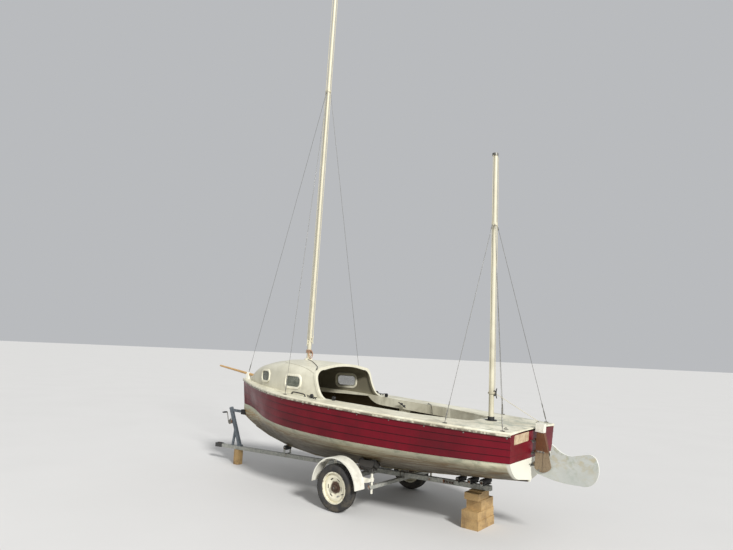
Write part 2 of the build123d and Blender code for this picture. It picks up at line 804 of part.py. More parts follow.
# Bowsprit and its chock
bowsprit = spar((bowsprit_foot[0], 0, bowsprit_foot[1]), (bowsprit_tip[0], 0, bowsprit_tip[1]),
                bowsprit_diameter, bowsprit_tip_diameter)
keep("bowsprit", boat(bowsprit - cuddy_solid(grow=seat_gap)))
chock_tilt = Plane(origin=(chock_x, 0, sprit_z), z_dir=sprit_run.normalized())
chock = Pos(chock_x, 0, sprit_z - chock_height / 2) * Box(chock_length, chock_width, chock_height)
chock = chock + chock_tilt * Cylinder(sprit_radius + strap_wall, chock_length)
chock = chock - chock_tilt * Cylinder(sprit_radius + seat_gap, 3 * chock_length)
keep("bowsprit_chock", boat(chock - under_deck))

# Rudder: gudgeons on the transom, stock with cheeks, head and lifting blade
transom_rake = math.atan((stations[0][1] - stations[0][0]) / (sheer(0) - stations[0][4]))
transom_frame = Pos(0, 0, sheer(0)) * Rot(Y=-math.degrees(transom_rake))


def on_transom(shape):
    """Places a shape drawn with Z along the transom, X forward from its face and Z = 0 at the sheer."""
    return boat(transom_frame * shape)


def at_xz(point):
    return (point[0], 0, point[1])


stock_low = stock_bottom - sheer(0)
stock_high = stock_top - sheer(0)
stock_front = -pintle_from_transom - stock_front_gap
heel = (stock_front - stock_heel[0], stock_low + stock_heel[1])
sole = (stock_front - stock_sole[0], stock_low + stock_sole[1])
toe = (stock_front, stock_low + stock_toe)
stock_corners = [toe, (stock_front, stock_high), (stock_front - stock_top_length, stock_high), heel]
stock_edges = [Line(at_xz(a), at_xz(b)).edge() for a, b in zip(stock_corners, stock_corners[1:])]
stock_edges.append(ThreePointArc(at_xz(heel), at_xz(sole), at_xz(toe)).edge())
stock = both_ways(Face(Wire(stock_edges)), stock_width / 2)
pivot = (stock_front - blade_pivot_back, blade_pivot_height - sheer(0))
blade_slot = blade_wall + 2 * blade_gap
slot_low = stock_low - heel_clearance
slot_high = pivot[1] + blade_heel_radius + heel_clearance
heel_slot = Pos(stock_front, 0, (slot_low + slot_high) / 2) * Box(heel_slot_length, blade_slot, slot_high - slot_low)
body_slot_x = pivot[0] + body_slot_ahead - body_slot_length / 2
body_slot = Pos(body_slot_x, 0, slot_high + body_slot_height / 2) * Box(
    body_slot_length, blade_slot, body_slot_height)
pin_hole = Pos(pivot[0], 0, pivot[1]) * Rot(X=90) * Cylinder(blade_pin / 2 + running_gap, 2 * stock_width)
stock = stock - heel_slot - body_slot - pin_hole
gudgeons = []
for height in gudgeon_heights:
    z = height - sheer(0)
    eye = Cylinder(pintle_diameter / 2 + pintle_eye_wall, lug_height) + Pos(-stock_front_gap / 2, 0, 0) * Box(
        stock_front_gap + 4.0, gudgeon_arm_width, lug_height)
    eye = eye - Cylinder(pintle_diameter / 2 + running_gap, 2 * lug_height)
    stock = stock + Pos(-pintle_from_transom, 0, z) * eye
    low = z - gudgeon_below
    plate = Pos(-gudgeon_plate / 2 - seat_gap, 0, low) * Box(gudgeon_plate, gudgeon_width, gudgeon_plate_height)
    arm_length = pintle_from_transom - seat_gap
    arm = Pos(-seat_gap - arm_length / 2, 0, low) * Box(arm_length, gudgeon_arm_width, gudgeon_arm_height)
    post = Pos(-pintle_from_transom, 0, low) * Cylinder(gudgeon_arm_width / 2, gudgeon_arm_height)
    pin = Pos(-pintle_from_transom, 0, low + gudgeon_arm_height / 2 + lug_height * 0.75) * Cylinder(
        pintle_diameter / 2, lug_height * 1.5)
    gudgeons.append(on_transom(plate + arm + post + pin))
keep("rudder_gudgeons", *gudgeons)
keep("rudder_stock", on_transom(stock))
slot_width, slot_height, slot_back, slot_up = head_slot
head = Box(head_length, head_width, head_height) - Pos(slot_back, 0, slot_up) * Box(
    head_length, slot_width, slot_height)
keep("rudder_head", on_transom(
    Pos(stock_front - head_length / 2 + head_ahead, 0, stock_high + seat_gap + head_height / 2) * head))


def blade_point(point):
    return (pivot[0] + point[0], 0, pivot[1] + point[1])


blade_edges = []
last = blade_start
for middle, end in blade_runs:
    if middle:
        blade_edges.append(ThreePointArc(blade_point(last), blade_point(middle), blade_point(end)).edge())
    else:
        blade_edges.append(Line(blade_point(last), blade_point(end)).edge())
    last = end
blade = both_ways(Face(Wire(blade_edges)), blade_wall / 2)
on_pivot = Pos(pivot[0], 0, pivot[1]) * Rot(X=90)
blade = blade + on_pivot * Cylinder(blade_heel_radius, blade_wall)
blade = blade + on_pivot * Cylinder(blade_pin / 2, stock_width + 2 * blade_pin_out)
keep("rudder_blade", on_transom(blade))

# Trailer beam and coupling
beam_tilt = math.degrees(math.atan(beam_fall))


def beam_top(x):
    return beam_top_at_axle - beam_fall * x


def beam_under(x):
    return beam_top(x) - beam_height / math.cos(math.radians(beam_tilt))


def on_beam(x, shape):
    """Places a shape drawn with its foot at Z = 0 on top of the beam at x."""
    return Pos(x, 0, beam_top(x)) * Rot(Y=beam_tilt) * shape


beam_length = (beam_front - beam_rear) / math.cos(math.radians(beam_tilt))
beam = Pos(0, 0, -beam_height / 2) * Box(beam_length, beam_width, beam_height)
keep("trailer_beam", on_beam((beam_front + beam_rear) / 2, beam))
outline = Rectangle(4.0, beam_width, align=(Align.MIN, Align.CENTER)) + Pos(
    coupling_head_x, 0) * Circle(coupling_radius)
coupling = extrude(make_hull(outline.edges()), coupling_height / 2, both=True)
coupling = coupling - Pos(coupling_head_x, 0, -coupling_height / 2) * Sphere(ball_radius)
coupling = coupling + Pos(coupling_bar / 2, 0, coupling_height / 2) * Box(coupling_bar, 18.0, 26.0)
keep("coupling_head", on_beam(beam_front + seat_gap, Pos(0, 0, -beam_height / 2) * coupling))

# Axle, suspension arms and wheels
axle_z = tyre_diameter / 2
tube_top = beam_under(axle_tube_ahead + axle_tube / 2) - seat_gap
tube_z = tube_top - axle_tube / 2
keep("axle_tube", Pos(axle_tube_ahead, 0, tube_z) * Box(axle_tube, 2 * axle_tube_half, axle_tube))
wheel_y = wheel_track_outer - tyre_width / 2


def suspension_arm(side):
    """Trailing link from the axle tube to the stub axle that carries the hub."""
    ends = Pos(axle_tube_ahead, tube_z) * Circle(arm_end_radii[0]) + Pos(0, axle_z) * Circle(arm_end_radii[1])
    y = axle_tube_half + seat_gap
    link = Pos(0, side * (y + arm_wall / 2), 0) * Rot(X=90) * extrude(make_hull(ends.edges()), arm_wall / 2, both=True)
    stub = rod((0, side * (y + 1.0), axle_z), (0, side * (wheel_track_outer - stub_inset), axle_z), stub_diameter)
    return link + stub


def wheel_rim():
    """Dished steel disc with slots in a well barrel, turned about Z with its outer face up."""
    barrel_out = rim_diameter / 2 - 3.0
    barrel_in = barrel_out - rim_wall
    half = rim_width / 2
    lip = barrel_out + 3.0 + rim_lip
    barrel = [(barrel_in, -half), (lip, -half), (lip, rim_wall - half), (barrel_out, rim_wall - half),
              (barrel_out, half - rim_wall), (lip, half - rim_wall), (lip, half), (barrel_in, half)]
    disc = [(hub_hole, 13.0), (70.0, 13.0), (96.0, 22.0), (126.0, 33.0), (150.0, 30.0), (barrel_in + 1.0, 20.0)]
    back = [(r, z + disc_wall) for r, z in disc[::-1]]
    shape = revolve(flat_face(barrel), Axis.Z) + revolve(flat_face(disc + back), Axis.Z)
    slot = extrude(SlotOverall(52.0, 15.0), 40.0, both=True)
    for turn in range(disc_slots):
        shape = shape - Rot(Z=360.0 / disc_slots * turn) * Pos(disc_slot_radius, 0, 25.0) * Rot(Z=90) * slot
    return shape


def wheel_hub():
    radius, length, out = hub_barrel
    shape = Cylinder(hub_diameter / 2, hub_flange) + Pos(0, 0, out) * Cylinder(radius, length)
    return Pos(0, 0, hub_out) * (shape - Cylinder(stub_diameter / 2 + running_gap, 4 * length))


def tyre():
    """Tyre section of straight runs turned about Z, so that it has few faces."""
    half = tyre_width / 2
    bore = rim_diameter / 2 - 2.5
    bead = rim_width / 2 - 6.3
    outer = [(bore, bead), (bore + 12.0, bead), (bore + 30.0, half - 6.0), (bore + 60.0, half),
             (bore + 88.0, half - 16.0), (tyre_diameter / 2 - 3.0, half - 38.0), (tyre_diameter / 2, 0)]
    inner = [(r, -z) for r, z in outer[-2::-1]]
    return revolve(flat_face(outer + inner), Axis.Z)


for side, name in ((1, "port"), (-1, "starboard")):
    turn = Pos(0, side * wheel_y, axle_z) * Rot(X=-90 * side)
    keep("wheel_rim_" + name, turn * wheel_rim())
    keep("wheel_hub_" + name, turn * wheel_hub())
    keep("tyre_" + name, turn * tyre())
keep("suspension_arms", suspension_arm(1), suspension_arm(-1))

# Mudguards with turned-in lips, their front brackets and the aft stays to the side supports' rods
guard_y = wheel_y + guard_out
guard_z = axle_z + guard_rise


def mudguard(side):
    upper = Pos(0, guard_radius + guard_end, 0) * Box(3 * guard_radius, 2 * guard_radius, 2 * guard_width)
    shell = Cylinder(guard_radius + guard_wall, guard_width) - Cylinder(guard_radius, 2 * guard_width)
    ring = Cylinder(guard_radius + 1.0, guard_lip_wall) - Cylinder(guard_radius - guard_lip, 2 * guard_lip_wall)
    for end in (1, -1):
        shell = shell + Pos(0, 0, end * (guard_width - guard_lip_wall) / 2) * ring
    return Pos(guard_x, side * guard_y, guard_z) * Rot(X=90) * (shell & upper)


def guard_bracket(side):
    """Upright on the axle tube, an arm under the mudguard's lips and a packer between arm and guard."""

    def under_guard(radius, wall):
        ring = Cylinder(radius, 3 * guard_width) - Cylinder(radius - wall, 4 * guard_width)
        return Pos(guard_x, side * guard_y, guard_z) * Rot(X=90) * ring

    low = guard_radius - guard_lip - seat_gap
    reach = bracket_reach - bracket_start
    height = bracket_top - tube_top - seat_gap
    packer_width = guard_width - 2 * (guard_lip_wall + seat_gap)
    upright = Pos(axle_tube_ahead, side * (bracket_start + bracket_wall / 2), bracket_top - height / 2) * Box(
        bracket_width, bracket_wall, height)
    arm = Pos(axle_tube_ahead, side * (bracket_start + reach / 2), bracket_top - bracket_rise / 2) * Box(
        bracket_width, reach, bracket_rise)
    packer = Pos(axle_tube_ahead, side * guard_y, bracket_top - bracket_rise / 2) * Box(
        bracket_width, packer_width, bracket_rise)
    return (upright & under_guard(low, low - 1.0)) + (arm & under_guard(low, bracket_wall)) + (
        packer & under_guard(guard_radius - seat_gap, guard_lip + bracket_wall / 2))


def aft_stay(side):
    """Tapered plate beside the mudguard's inner edge, ending in a clamp round the support's rod."""
    plate_y = guard_y - guard_width / 2 - seat_gap - bracket_wall / 2
    plate = Pos(0, side * plate_y, 0) * both_ways(flat_face(aft_stay_outline), bracket_wall / 2)
    lug = Pos(crossbar_x, side * (prop_y + plate_y) / 2, clamp_z) * Box(clamp_lug, plate_y - prop_y, clamp_lug)
    ring = Pos(crossbar_x, side * prop_y, clamp_z) * Cylinder(clamp_radius, clamp_height)
    hole = Pos(crossbar_x, side * prop_y, clamp_z) * Cylinder(prop_diameter / 2 + seat_gap, 3 * clamp_height)
    return plate + lug + ring - hole


keep("mudguards", mudguard(1), mudguard(-1))
keep("mudguard_brackets", *[make(side) for make in (guard_bracket, aft_stay) for side in (1, -1)])

# Side supports: crossbar, rods with rockers, and rubber rollers under the bilge
bar_top = beam_under(crossbar_x + crossbar_size / 2) - seat_gap
crossbar = Pos(crossbar_x, 0, bar_top - crossbar_size / 2) * Box(crossbar_size, 2 * crossbar_half, crossbar_size)
for side in (1, -1):
    crossbar = crossbar - Pos(crossbar_x, side * prop_y, bar_top) * Cylinder(prop_diameter / 2 + seat_gap, 200.0)
keep("support_crossbar", crossbar)
hull_shape = boat(hull_outside())


def bilge_z(x, y):
    """Height of the hull's underside over a point of the trailer."""
    probe = Pos(x, y, 700.0) * Box(0.2, 0.2, 1000.0)
    return (hull_shape & probe).bounding_box().min.Z


bilge_low = bilge_z(bilge_x, bilge_y - bilge_probe)
bilge_high = bilge_z(bilge_x, bilge_y + bilge_probe)
bilge_slope = math.atan2(bilge_high - bilge_low, 2 * bilge_probe)
fore_rise = (bilge_z(bilge_x + bilge_probe, bilge_y) - bilge_z(bilge_x - bilge_probe, bilge_y)) / (2 * bilge_probe)
out_normal = Vector(0, math.sin(bilge_slope), -math.cos(bilge_slope))
bilge_plane = Plane(origin=(bilge_x, bilge_y, bilge_z(bilge_x, bilge_y)), x_dir=(1, 0, fore_rise),
                    z_dir=Vector(fore_rise, 0, -1) + Vector(0, math.tan(bilge_slope), 0))
pin_depth = wobble_radius - bilge_press
bilge_grown = boat(hull_outside(grow=seat_gap))
rollers, rockers = [], []
for end in (1, -1):
    roller = Pos(end * wobble_apart / 2, 0, pin_depth) * Rot(X=90) * (
        Cylinder(wobble_radius, wobble_length) - Cylinder(wobble_pin + roller_fit, 2 * wobble_length))
    rollers.append(bilge_plane * roller - bilge_grown)
rocker = Pos(0, 0, web_depth) * Box(web_length, 2 * cheek_y, web_wall)
cheek_ends = Pos(wobble_apart / 2, pin_depth) * Circle(cheek_end) + Pos(-wobble_apart / 2, pin_depth) * Circle(cheek_end)
cheek_ends = cheek_ends + Pos(0, web_depth) * Rectangle(web_length, web_wall)
cheek_face = make_hull(cheek_ends.edges())
for end in (1, -1):
    rocker = rocker + Pos(0, end * cheek_y, 0) * Rot(X=90) * extrude(cheek_face, cheek_wall / 2, both=True)
    rocker = rocker + Pos(end * wobble_apart / 2, 0, pin_depth) * Rot(X=90) * Cylinder(wobble_pin, 2 * cheek_y + cheek_wall)
web_middle = (bilge_plane * Pos(crossbar_x - bilge_x, 0, web_depth) * Vertex(0, 0, 0)).center()
rocker = bilge_plane * rocker + rod((crossbar_x, prop_y, prop_bottom), (crossbar_x, prop_y, web_middle.Z), prop_diameter)
keep("side_pads", *rollers, *[mirror(roller, Plane.XZ) for roller in rollers])
keep("side_props", rocker, mirror(rocker, Plane.XZ))

# Keel rollers on brackets that stand on the beam
keel_rollers, stands = [], []
for x, length in keel_roller_table:
    at_boat = x - transom_from_axle
    keel = keel_height(at_boat) - keel_depth
    radius = min(roller_radius, (keel - beam_top(x) - roller_room) / 2)
    slope = (keel_height(at_boat + 50) - keel_height(at_boat - 50)) / 100
    centre = keel - radius * math.hypot(1, slope) - roller_touch
    roller = Pos(x, 0, centre) * Rot(X=90) * (Cylinder(radius, length) - Cylinder(roller_pin + roller_fit, 2 * length))
    keel_rollers.append(roller - bilge_grown)
    width = length + 2 * (stand_gap + stand_wall)
    foot = beam_top(x) + beam_fall * stand_length / 2 + seat_gap
    stand = Pos(x, 0, foot + stand_wall / 2) * Box(stand_length, width, stand_wall)
    for side in (1, -1):
        stand = stand + Pos(x, side * (width - stand_wall) / 2, (foot + centre + stand_over) / 2) * Box(
            stand_cheek, stand_wall, centre + stand_over - foot)
    stand = stand + Pos(x, 0, centre) * Rot(X=90) * Cylinder(roller_pin, width)
    stands.append(stand)
keep("keel_rollers", *keel_rollers)
keep("roller_brackets", *stands)

# Winch post with its brace, bow arm and rubber
post_foot = Vector(post_foot_x, 0, beam_top(post_foot_x))
post_top = Vector(post_top_at[0], 0, post_top_at[1])
post = square_bar(post_foot, post_top, post_size)
post = post + square_bar((brace_foot_x, 0, beam_top(brace_foot_x)), (brace_top_at[0], 0, brace_top_at[1]), brace_size)
post = post + Pos(post_foot_x, 0, post_foot.Z) * Box(post_shoe[0], beam_width, post_shoe[1])
arm_front = post_foot.X + (post_top.X - post_foot.X) * (bow_arm_z - post_foot.Z) / (post_top.Z - post_foot.Z)
arm_back = bow_rubber_x[1] + seat_gap
post = post + Pos((arm_back + arm_front) / 2, 0, bow_arm_z) * Box(arm_front - arm_back, bow_arm_size, bow_arm_size)
beam_room = Box(1000.0, 4 * beam_width, 400.0, align=(Align.CENTER, Align.CENTER, Align.MAX))
keep("winch_post", post - on_beam(post_foot_x, Pos(0, 0, seat_gap) * beam_room))
rubber_x = (bow_rubber_x[0] + bow_rubber_x[1]) / 2
rubber = Pos(rubber_x, 0, bow_arm_z) * Box(bow_rubber_x[1] - bow_rubber_x[0], *bow_rubber) - bilge_grown
keep("bow_snubber", max(rubber.solids(), key=lambda solid: solid.volume))

# Timber under the beam
block_x, block_long, block_wide = front_block
block_top = beam_under(block_x + block_long) - seat_gap
keep("front_block", Pos(block_x + block_long / 2, 0, block_top / 2) * Box(block_long, block_wide, block_top))
level = ground
for i, (height, aft, length, port, starboard) in enumerate(tail_blocks):
    block = Box(length, port - starboard, height)
    keep("tail_block_" + str(i + 1), Pos(aft + length / 2, (port + starboard) / 2, level + height / 2) * block)
    level += height
slab_x = tail_blocks[-1][1] + slab_length / 2
slab_top = beam_under(slab_x + slab_length / 2) - seat_gap
keep("tail_slab", Pos(slab_x, 0, (level + slab_top) / 2) * Box(slab_length, slab_width, slab_top - level))

# The origin goes under the middle of the whole, on the ground
for name in nodes:
    nodes[name] = [solid for shape in nodes[name] for solid in shape.solids()]
box = Compound([solid for solids in nodes.values() for solid in solids]).bounding_box()
centre_x = (box.min.X + box.max.X) / 2
for name, solids in nodes.items():
    placed = [Pos(-centre_x, 0, 0) * solid for solid in solids]
    export_step(placed[0] if len(placed) == 1 else Compound(children=placed), "parts/" + name + ".step")


def metres(point):
    return [round((point.X - centre_x) / 1000, 6), round(point.Y / 1000, 6), round(point.Z / 1000, 6)]


# Where the joints and the coupling end up, in metres, for the record
def transom_point(x, z):
    return on_transom(Pos(x, 0, z) * Vertex(0, 0, 0)).center()


rudder_low = transom_point(-pintle_from_transom, gudgeon_heights[1] - sheer(0))
rudder_axis = transom_point(-pintle_from_transom, gudgeon_heights[2] - sheer(0)) - rudder_low
ball = on_beam(beam_front + seat_gap, Pos(coupling_head_x, 0, -(beam_height + coupling_height) / 2) * Vertex(0, 0, 0))
print("JOINT wheel", metres(Vector(0, wheel_y, axle_z)))
print("JOINT rudder", metres(rudder_low), rudder_axis.normalized())
print("JOINT blade", metres(transom_point(*pivot)))
print("MOUNT ball", metres(ball.center()))
print("box", box.min, box.max, "shift", -centre_x)
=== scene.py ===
"""Finishes and fine pieces for a small clinker sailing dinghy standing on its road trailer.

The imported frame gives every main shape. This file lays paint, timber, metal and rubber over it and adds
what is too fine for the frame: tread, rope, cleats, fastenings, window frames and trailer hardware.
Everything is in metres, X forward, Y to port, Z up from the ground. Colours of three numbers are screen
values from 0 to 255.
"""
import functools
import math

import bpy
import numpy as np
from bpy.props import FloatProperty, FloatVectorProperty, IntProperty, PointerProperty
from mathutils import Matrix, Vector
from mathutils.bvhtree import BVHTree


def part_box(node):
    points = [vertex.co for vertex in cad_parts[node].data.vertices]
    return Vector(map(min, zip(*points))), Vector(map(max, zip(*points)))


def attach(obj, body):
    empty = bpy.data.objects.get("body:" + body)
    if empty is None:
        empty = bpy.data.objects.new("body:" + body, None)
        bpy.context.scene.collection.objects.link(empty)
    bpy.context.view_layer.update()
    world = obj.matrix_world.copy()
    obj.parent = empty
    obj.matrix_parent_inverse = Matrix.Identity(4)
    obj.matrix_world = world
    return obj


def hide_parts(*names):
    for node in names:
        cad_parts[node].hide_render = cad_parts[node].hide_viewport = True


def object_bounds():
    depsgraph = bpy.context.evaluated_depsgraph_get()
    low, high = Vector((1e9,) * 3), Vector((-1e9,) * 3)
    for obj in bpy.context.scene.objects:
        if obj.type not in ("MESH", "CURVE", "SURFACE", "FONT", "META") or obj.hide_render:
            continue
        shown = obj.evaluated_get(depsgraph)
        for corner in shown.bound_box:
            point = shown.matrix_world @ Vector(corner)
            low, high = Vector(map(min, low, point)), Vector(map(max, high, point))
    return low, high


bl_info = {
    "name": "Dinghy on its trailer",
    "version": (1, 0, 0),
    "blender": (4, 5, 0),
    "location": "View3D > Sidebar > Dinghy",
    "description": "Paint, timber, rope and fittings for a clinker dinghy and its trailer",
    "category": "Object",
}

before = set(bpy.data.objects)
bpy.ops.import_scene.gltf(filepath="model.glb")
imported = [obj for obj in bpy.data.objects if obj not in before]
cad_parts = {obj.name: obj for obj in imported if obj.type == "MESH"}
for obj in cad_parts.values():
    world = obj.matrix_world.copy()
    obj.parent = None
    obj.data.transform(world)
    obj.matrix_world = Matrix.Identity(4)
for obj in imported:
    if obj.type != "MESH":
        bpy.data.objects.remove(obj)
cad_box = [list(corner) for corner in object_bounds()]

HULL = "boat_and_trailer"
TRANSOM_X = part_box("hull_topsides")[0].x
AXLE = (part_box("tyre_port")[0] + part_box("tyre_port")[1]) / 2
# Heights of the sheer and of the lowest land: c0 + c1 x + c2 x^2, with x forward of the transom
SHEER = (1.153, 0.0375, 0.002)
LOWEST_LAND = (0.86260, -0.01920, 0.00960)
RUDDER_RAKE = 0.0739
RUDDER_AFT = (-0.997278, 0.0, -0.073736)
BLADE_PIVOT = (-2.594843, 0.0, 0.736114)
BEAM_SLOPE = (1.0, 0.0, -0.037)
# Height at the transom of the line on which the gunwale's side is read
GUNWALE = 1.17
# How far forward of the transom each keel roller stands
ROLLERS = (3.922, 0.902, 0.742, 0.582)
# Cuddy windows: x and height of the middle, length, height
WINDOWS = ((4.08, 1.523, 0.25, 0.15), (3.29, 1.49, 0.33, 0.155))
UP, DOWN, ACROSS = (0.0, 0.0, 1.0), (0.0, 0.0, -1.0), (0.0, 1.0, 0.0)
SIDES = (1.0, -1.0)
SHARP_EDGE = math.radians(40.0)


# Places and shapes

def boat(x, y=0.0, z=0.0):
    """A place in the boat: x metres forward of the transom."""
    return np.array((TRANSOM_X + x, y, z))


def unit(vectors):
    """Vectors scaled to length 1 along their last axis."""
    vectors = np.asarray(vectors, float)
    return vectors / np.maximum(np.linalg.norm(vectors, axis=-1, keepdims=True), 1e-12)


def between(start, end, low=0.0, high=1.0, count=7):
    """Evenly spaced points on the line from start to end, from one share of it to another."""
    return start + (end - start) * np.linspace(low, high, count)[:, None]


def surface(grid, round_rows=False, round_columns=False, caps=False):
    """Shape from a grid of points P[i, j], closed where it goes round, its end rows capped where asked."""
    rows, columns = grid.shape[:2]
    i, j = np.meshgrid(np.arange(rows - 1 + round_rows), np.arange(columns - 1 + round_columns),
                       indexing="ij")
    row, below = i * columns, (i + 1) % rows * columns
    after = (j + 1) % columns
    faces = np.stack([row + j, row + after, below + after, below + j], axis=-1).reshape(-1, 4).tolist()
    if caps:
        faces += [list(range(columns))[::-1], list(range((rows - 1) * columns, rows * columns))]
    return grid.reshape(-1, 3), faces


def circle(radius, sides):
    """Points (r cos a, r sin a) round a circle."""
    a = np.linspace(0.0, 2.0 * math.pi, sides, endpoint=False)
    return radius * np.stack([np.cos(a), np.sin(a)], axis=-1)


def rounded_rectangle(width, height, corner, steps=6):
    """Outline whose corners are quarter circles: centre of each corner + corner (cos a, sin a)."""
    turn = np.arange(4)[:, None] * math.pi / 2 + np.linspace(0.0, math.pi / 2, steps)
    middle = np.array([(1, 1), (-1, 1), (-1, -1), (1, -1)]) * (width / 2 - corner, height / 2 - corner)
    points = middle[:, None] + corner * np.stack([np.cos(turn), np.sin(turn)], axis=-1)
    return points.reshape(-1, 2)


def sweep(path, profile, lift=UP, scale=1.0, closed=False):
    """Profile (a, b) carried along a path: P = path + s (a side + b rise), with rise close to lift."""
    path, profile = np.asarray(path, float), np.asarray(profile, float)
    around = np.roll(path, -1, axis=0) - np.roll(path, 1, axis=0)
    ahead = unit(around if closed else np.gradient(path, axis=0))
    lift = np.broadcast_to(np.asarray(lift, float), path.shape)
    rise = unit(lift - (lift * ahead).sum(-1, keepdims=True) * ahead)
    side = np.cross(rise, ahead)
    size = np.broadcast_to(scale, len(path))[:, None, None]
    grid = path[:, None] + size * (profile[:, :1] * side[:, None] + profile[:, 1:] * rise[:, None])
    return surface(grid, round_rows=closed, round_columns=True, caps=not closed)


def tube(path, radius, sides=8, lift=UP, closed=False, scale=1.0):
    """Round bar along a path."""
    return sweep(path, circle(radius, sides), lift, scale, closed)


def turned(profile, origin, axis, steps=32):
    """Profile (r, h) turned about an axis: P = origin + h axis + r (cos a u + sin a v)."""
    axis = unit(axis)
    u = unit(np.cross(axis, UP if abs(axis[2]) < 0.9 else (1.0, 0.0, 0.0)))
    ring = circle(1.0, steps) @ np.stack([u, np.cross(axis, u)])
    profile = np.asarray(profile, float)[:, None]
    grid = np.asarray(origin) + profile[..., 1:] * axis + profile[..., :1] * ring
    return surface(grid, round_columns=True, caps=True)


def plate(outline, thickness, origin, right, out):
    """Flat outline (a, b) made thick: its back lies at the origin, its face looks out."""
    out = unit(out)
    right = unit(np.asarray(right, float) - np.dot(right, out) * out)
    outline = np.asarray(outline, float)
    flat = np.asarray(origin) + outline[:, :1] * right + outline[:, 1:] * np.cross(out, right)
    return surface(np.stack([flat, flat + thickness * out]), round_columns=True, caps=True)


def smooth_path(points, steps=10):
    """Catmull-Rom curve: a cubic between each pair of points, its slopes taken from their neighbours."""
    p = np.asarray(points, float)
    p = np.vstack([2 * p[0] - p[1], p, 2 * p[-1] - p[-2]])
    t = np.linspace(0.0, 1.0, steps, endpoint=False)[:, None]
    p0, p1, p2, p3 = p[:-3, None], p[1:-2, None], p[2:-1, None], p[3:, None]
    curve = 0.5 * (2 * p1 + (p2 - p0) * t + (2 * p0 - 5 * p1 + 4 * p2 - p3) * t ** 2
                   + (3 * p1 - p0 - 3 * p2 + p3) * t ** 3)
    return np.vstack([curve.reshape(-1, p.shape[1]), p[-2]])


def helix(start, end, radius, turns, steps=14):
    """Turns of rope round a line: radius (cos a, sin a) across it while it goes from start to end."""
    u = unit(np.cross(unit(end - start), ACROSS))
    t = np.linspace(0.0, 1.0, int(turns * steps) + 1)[:, None]
    a = 2.0 * math.pi * turns * t
    return start + (end - start) * t + radius * (np.cos(a) * u + np.sin(a) * np.cross(unit(end - start), u))


def half_ring(place, along, way, radius, bar, lift, over=0.3, rise=0.1, steps=15, sides=8):
    """Bent bar: place + r (cos a along + (sin a + rise) way), with a from -over to pi + over."""
    a = np.linspace(-over, math.pi + over, steps)[:, None]
    return tube(place + radius * (np.cos(a) * along + (np.sin(a) + rise) * way), bar, sides, lift)


def bolt(place, way, radius=0.008, sides=6):
    """Bolt head on its washer: profile (r, h) turned about the way that the surface looks."""
    profile = [(1.7, -0.001 / radius), (1.7, 0.002 / radius), (1.0, 0.0021 / radius), (1.0, 0.8), (0.8, 0.95)]
    return turned(np.array(profile) * radius, place, way, sides)


def cleat(place, along, up, length):
    """Horn cleat on two feet: bar of height 0.17 + 0.1 t^2 and thickness sqrt(1 - 0.75 t^2)."""
    along, up = unit(along), unit(up)
    t = np.linspace(-1.0, 1.0, 15)
    path = place + t[:, None] * along * length / 2 + (length * (0.17 + 0.10 * t ** 2))[:, None] * up
    horns = tube(path, length * 0.065, 10, lift=up, scale=np.sqrt(1.0 - 0.75 * t ** 2))
    foot = np.array([(0.10, -0.01), (0.10, 0.03), (0.055, 0.07), (0.05, 0.18)]) * length
    return [horns] + [turned(foot, place + share * along * length, up, 14) for share in (-0.19, 0.19)]


def u_bolt(middle, width, height):
    """Round bar bent over a beam: half an ellipse (cos a, sin a / 4) on two legs, each with a nut."""
    a = np.linspace(0.0, math.pi, 13)
    arch = np.column_stack([0.0 * a, np.cos(a), 0.25 * np.sin(a)]) * width / 2
    path = middle + np.vstack([(0.0, width / 2, -height), arch, (0.0, -width / 2, -height)])
    nut = [(0.012, 0.0), (0.012, 0.010), (0.009, 0.011)]
    nuts = [turned(nut, path[k] + (0, 0, 0.012), DOWN, 6) for k in (0, -1)]
    return [tube(path, 0.006, 10, lift=(1, 0, 0))] + nuts


def points_of(mesh):
    """A mesh's points as rows of an array."""
    points = np.zeros(len(mesh.vertices) * 3, np.float32)
    mesh.vertices.foreach_get("co", points)
    return points.reshape(-1, 3).astype(float)


def wire_ends(node, middle):
    """Foot and head of every wire of a node, told apart by side and by fore and aft of the middle."""
    places = points_of(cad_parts[node].data)
    found = []
    for port in (True, False):
        for ahead in (True, False):
            own = places[((places[:, 1] > 0.0) == port) & ((places[:, 0] > middle) == ahead)]
            if len(own):
                z = own[:, 2]
                found.append((own[z < z.min() + 0.006].mean(axis=0), own[z > z.max() - 0.006].mean(axis=0)))
    return found


@functools.cache
def skin(node):
    """Search tree over a node's triangles."""
    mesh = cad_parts[node].data
    mesh.calc_loop_triangles()
    corners = np.zeros(len(mesh.loop_triangles) * 3, np.int32)
    mesh.loop_triangles.foreach_get("vertices", corners)
    return BVHTree.FromPolygons(points_of(mesh).tolist(), corners.reshape(-1, 3).tolist())


def seat(node, start, aim):
    """Where a ray from start along aim first meets a node of the frame, and the way its face looks."""
    aim = Vector(aim).normalized()
    place, way, _, _ = skin(node).ray_cast(Vector(start), aim)
    if place is None:
        raise RuntimeError(f"no surface of {node} from {tuple(start)}")
    way = np.array(way)
    return np.array(place), way if np.dot(way, aim) < 0 else -way


def from_above(node, place):
    """Where a node's top lies over or under a place."""
    return seat(node, (place[0], place[1], 3.0), DOWN)


def from_side(node, place, side):
    """Where a node's outer face on one side lies abeam of a place."""
    return seat(node, (place[0], side * 1.5, place[2]), (0.0, -side, 0.0))


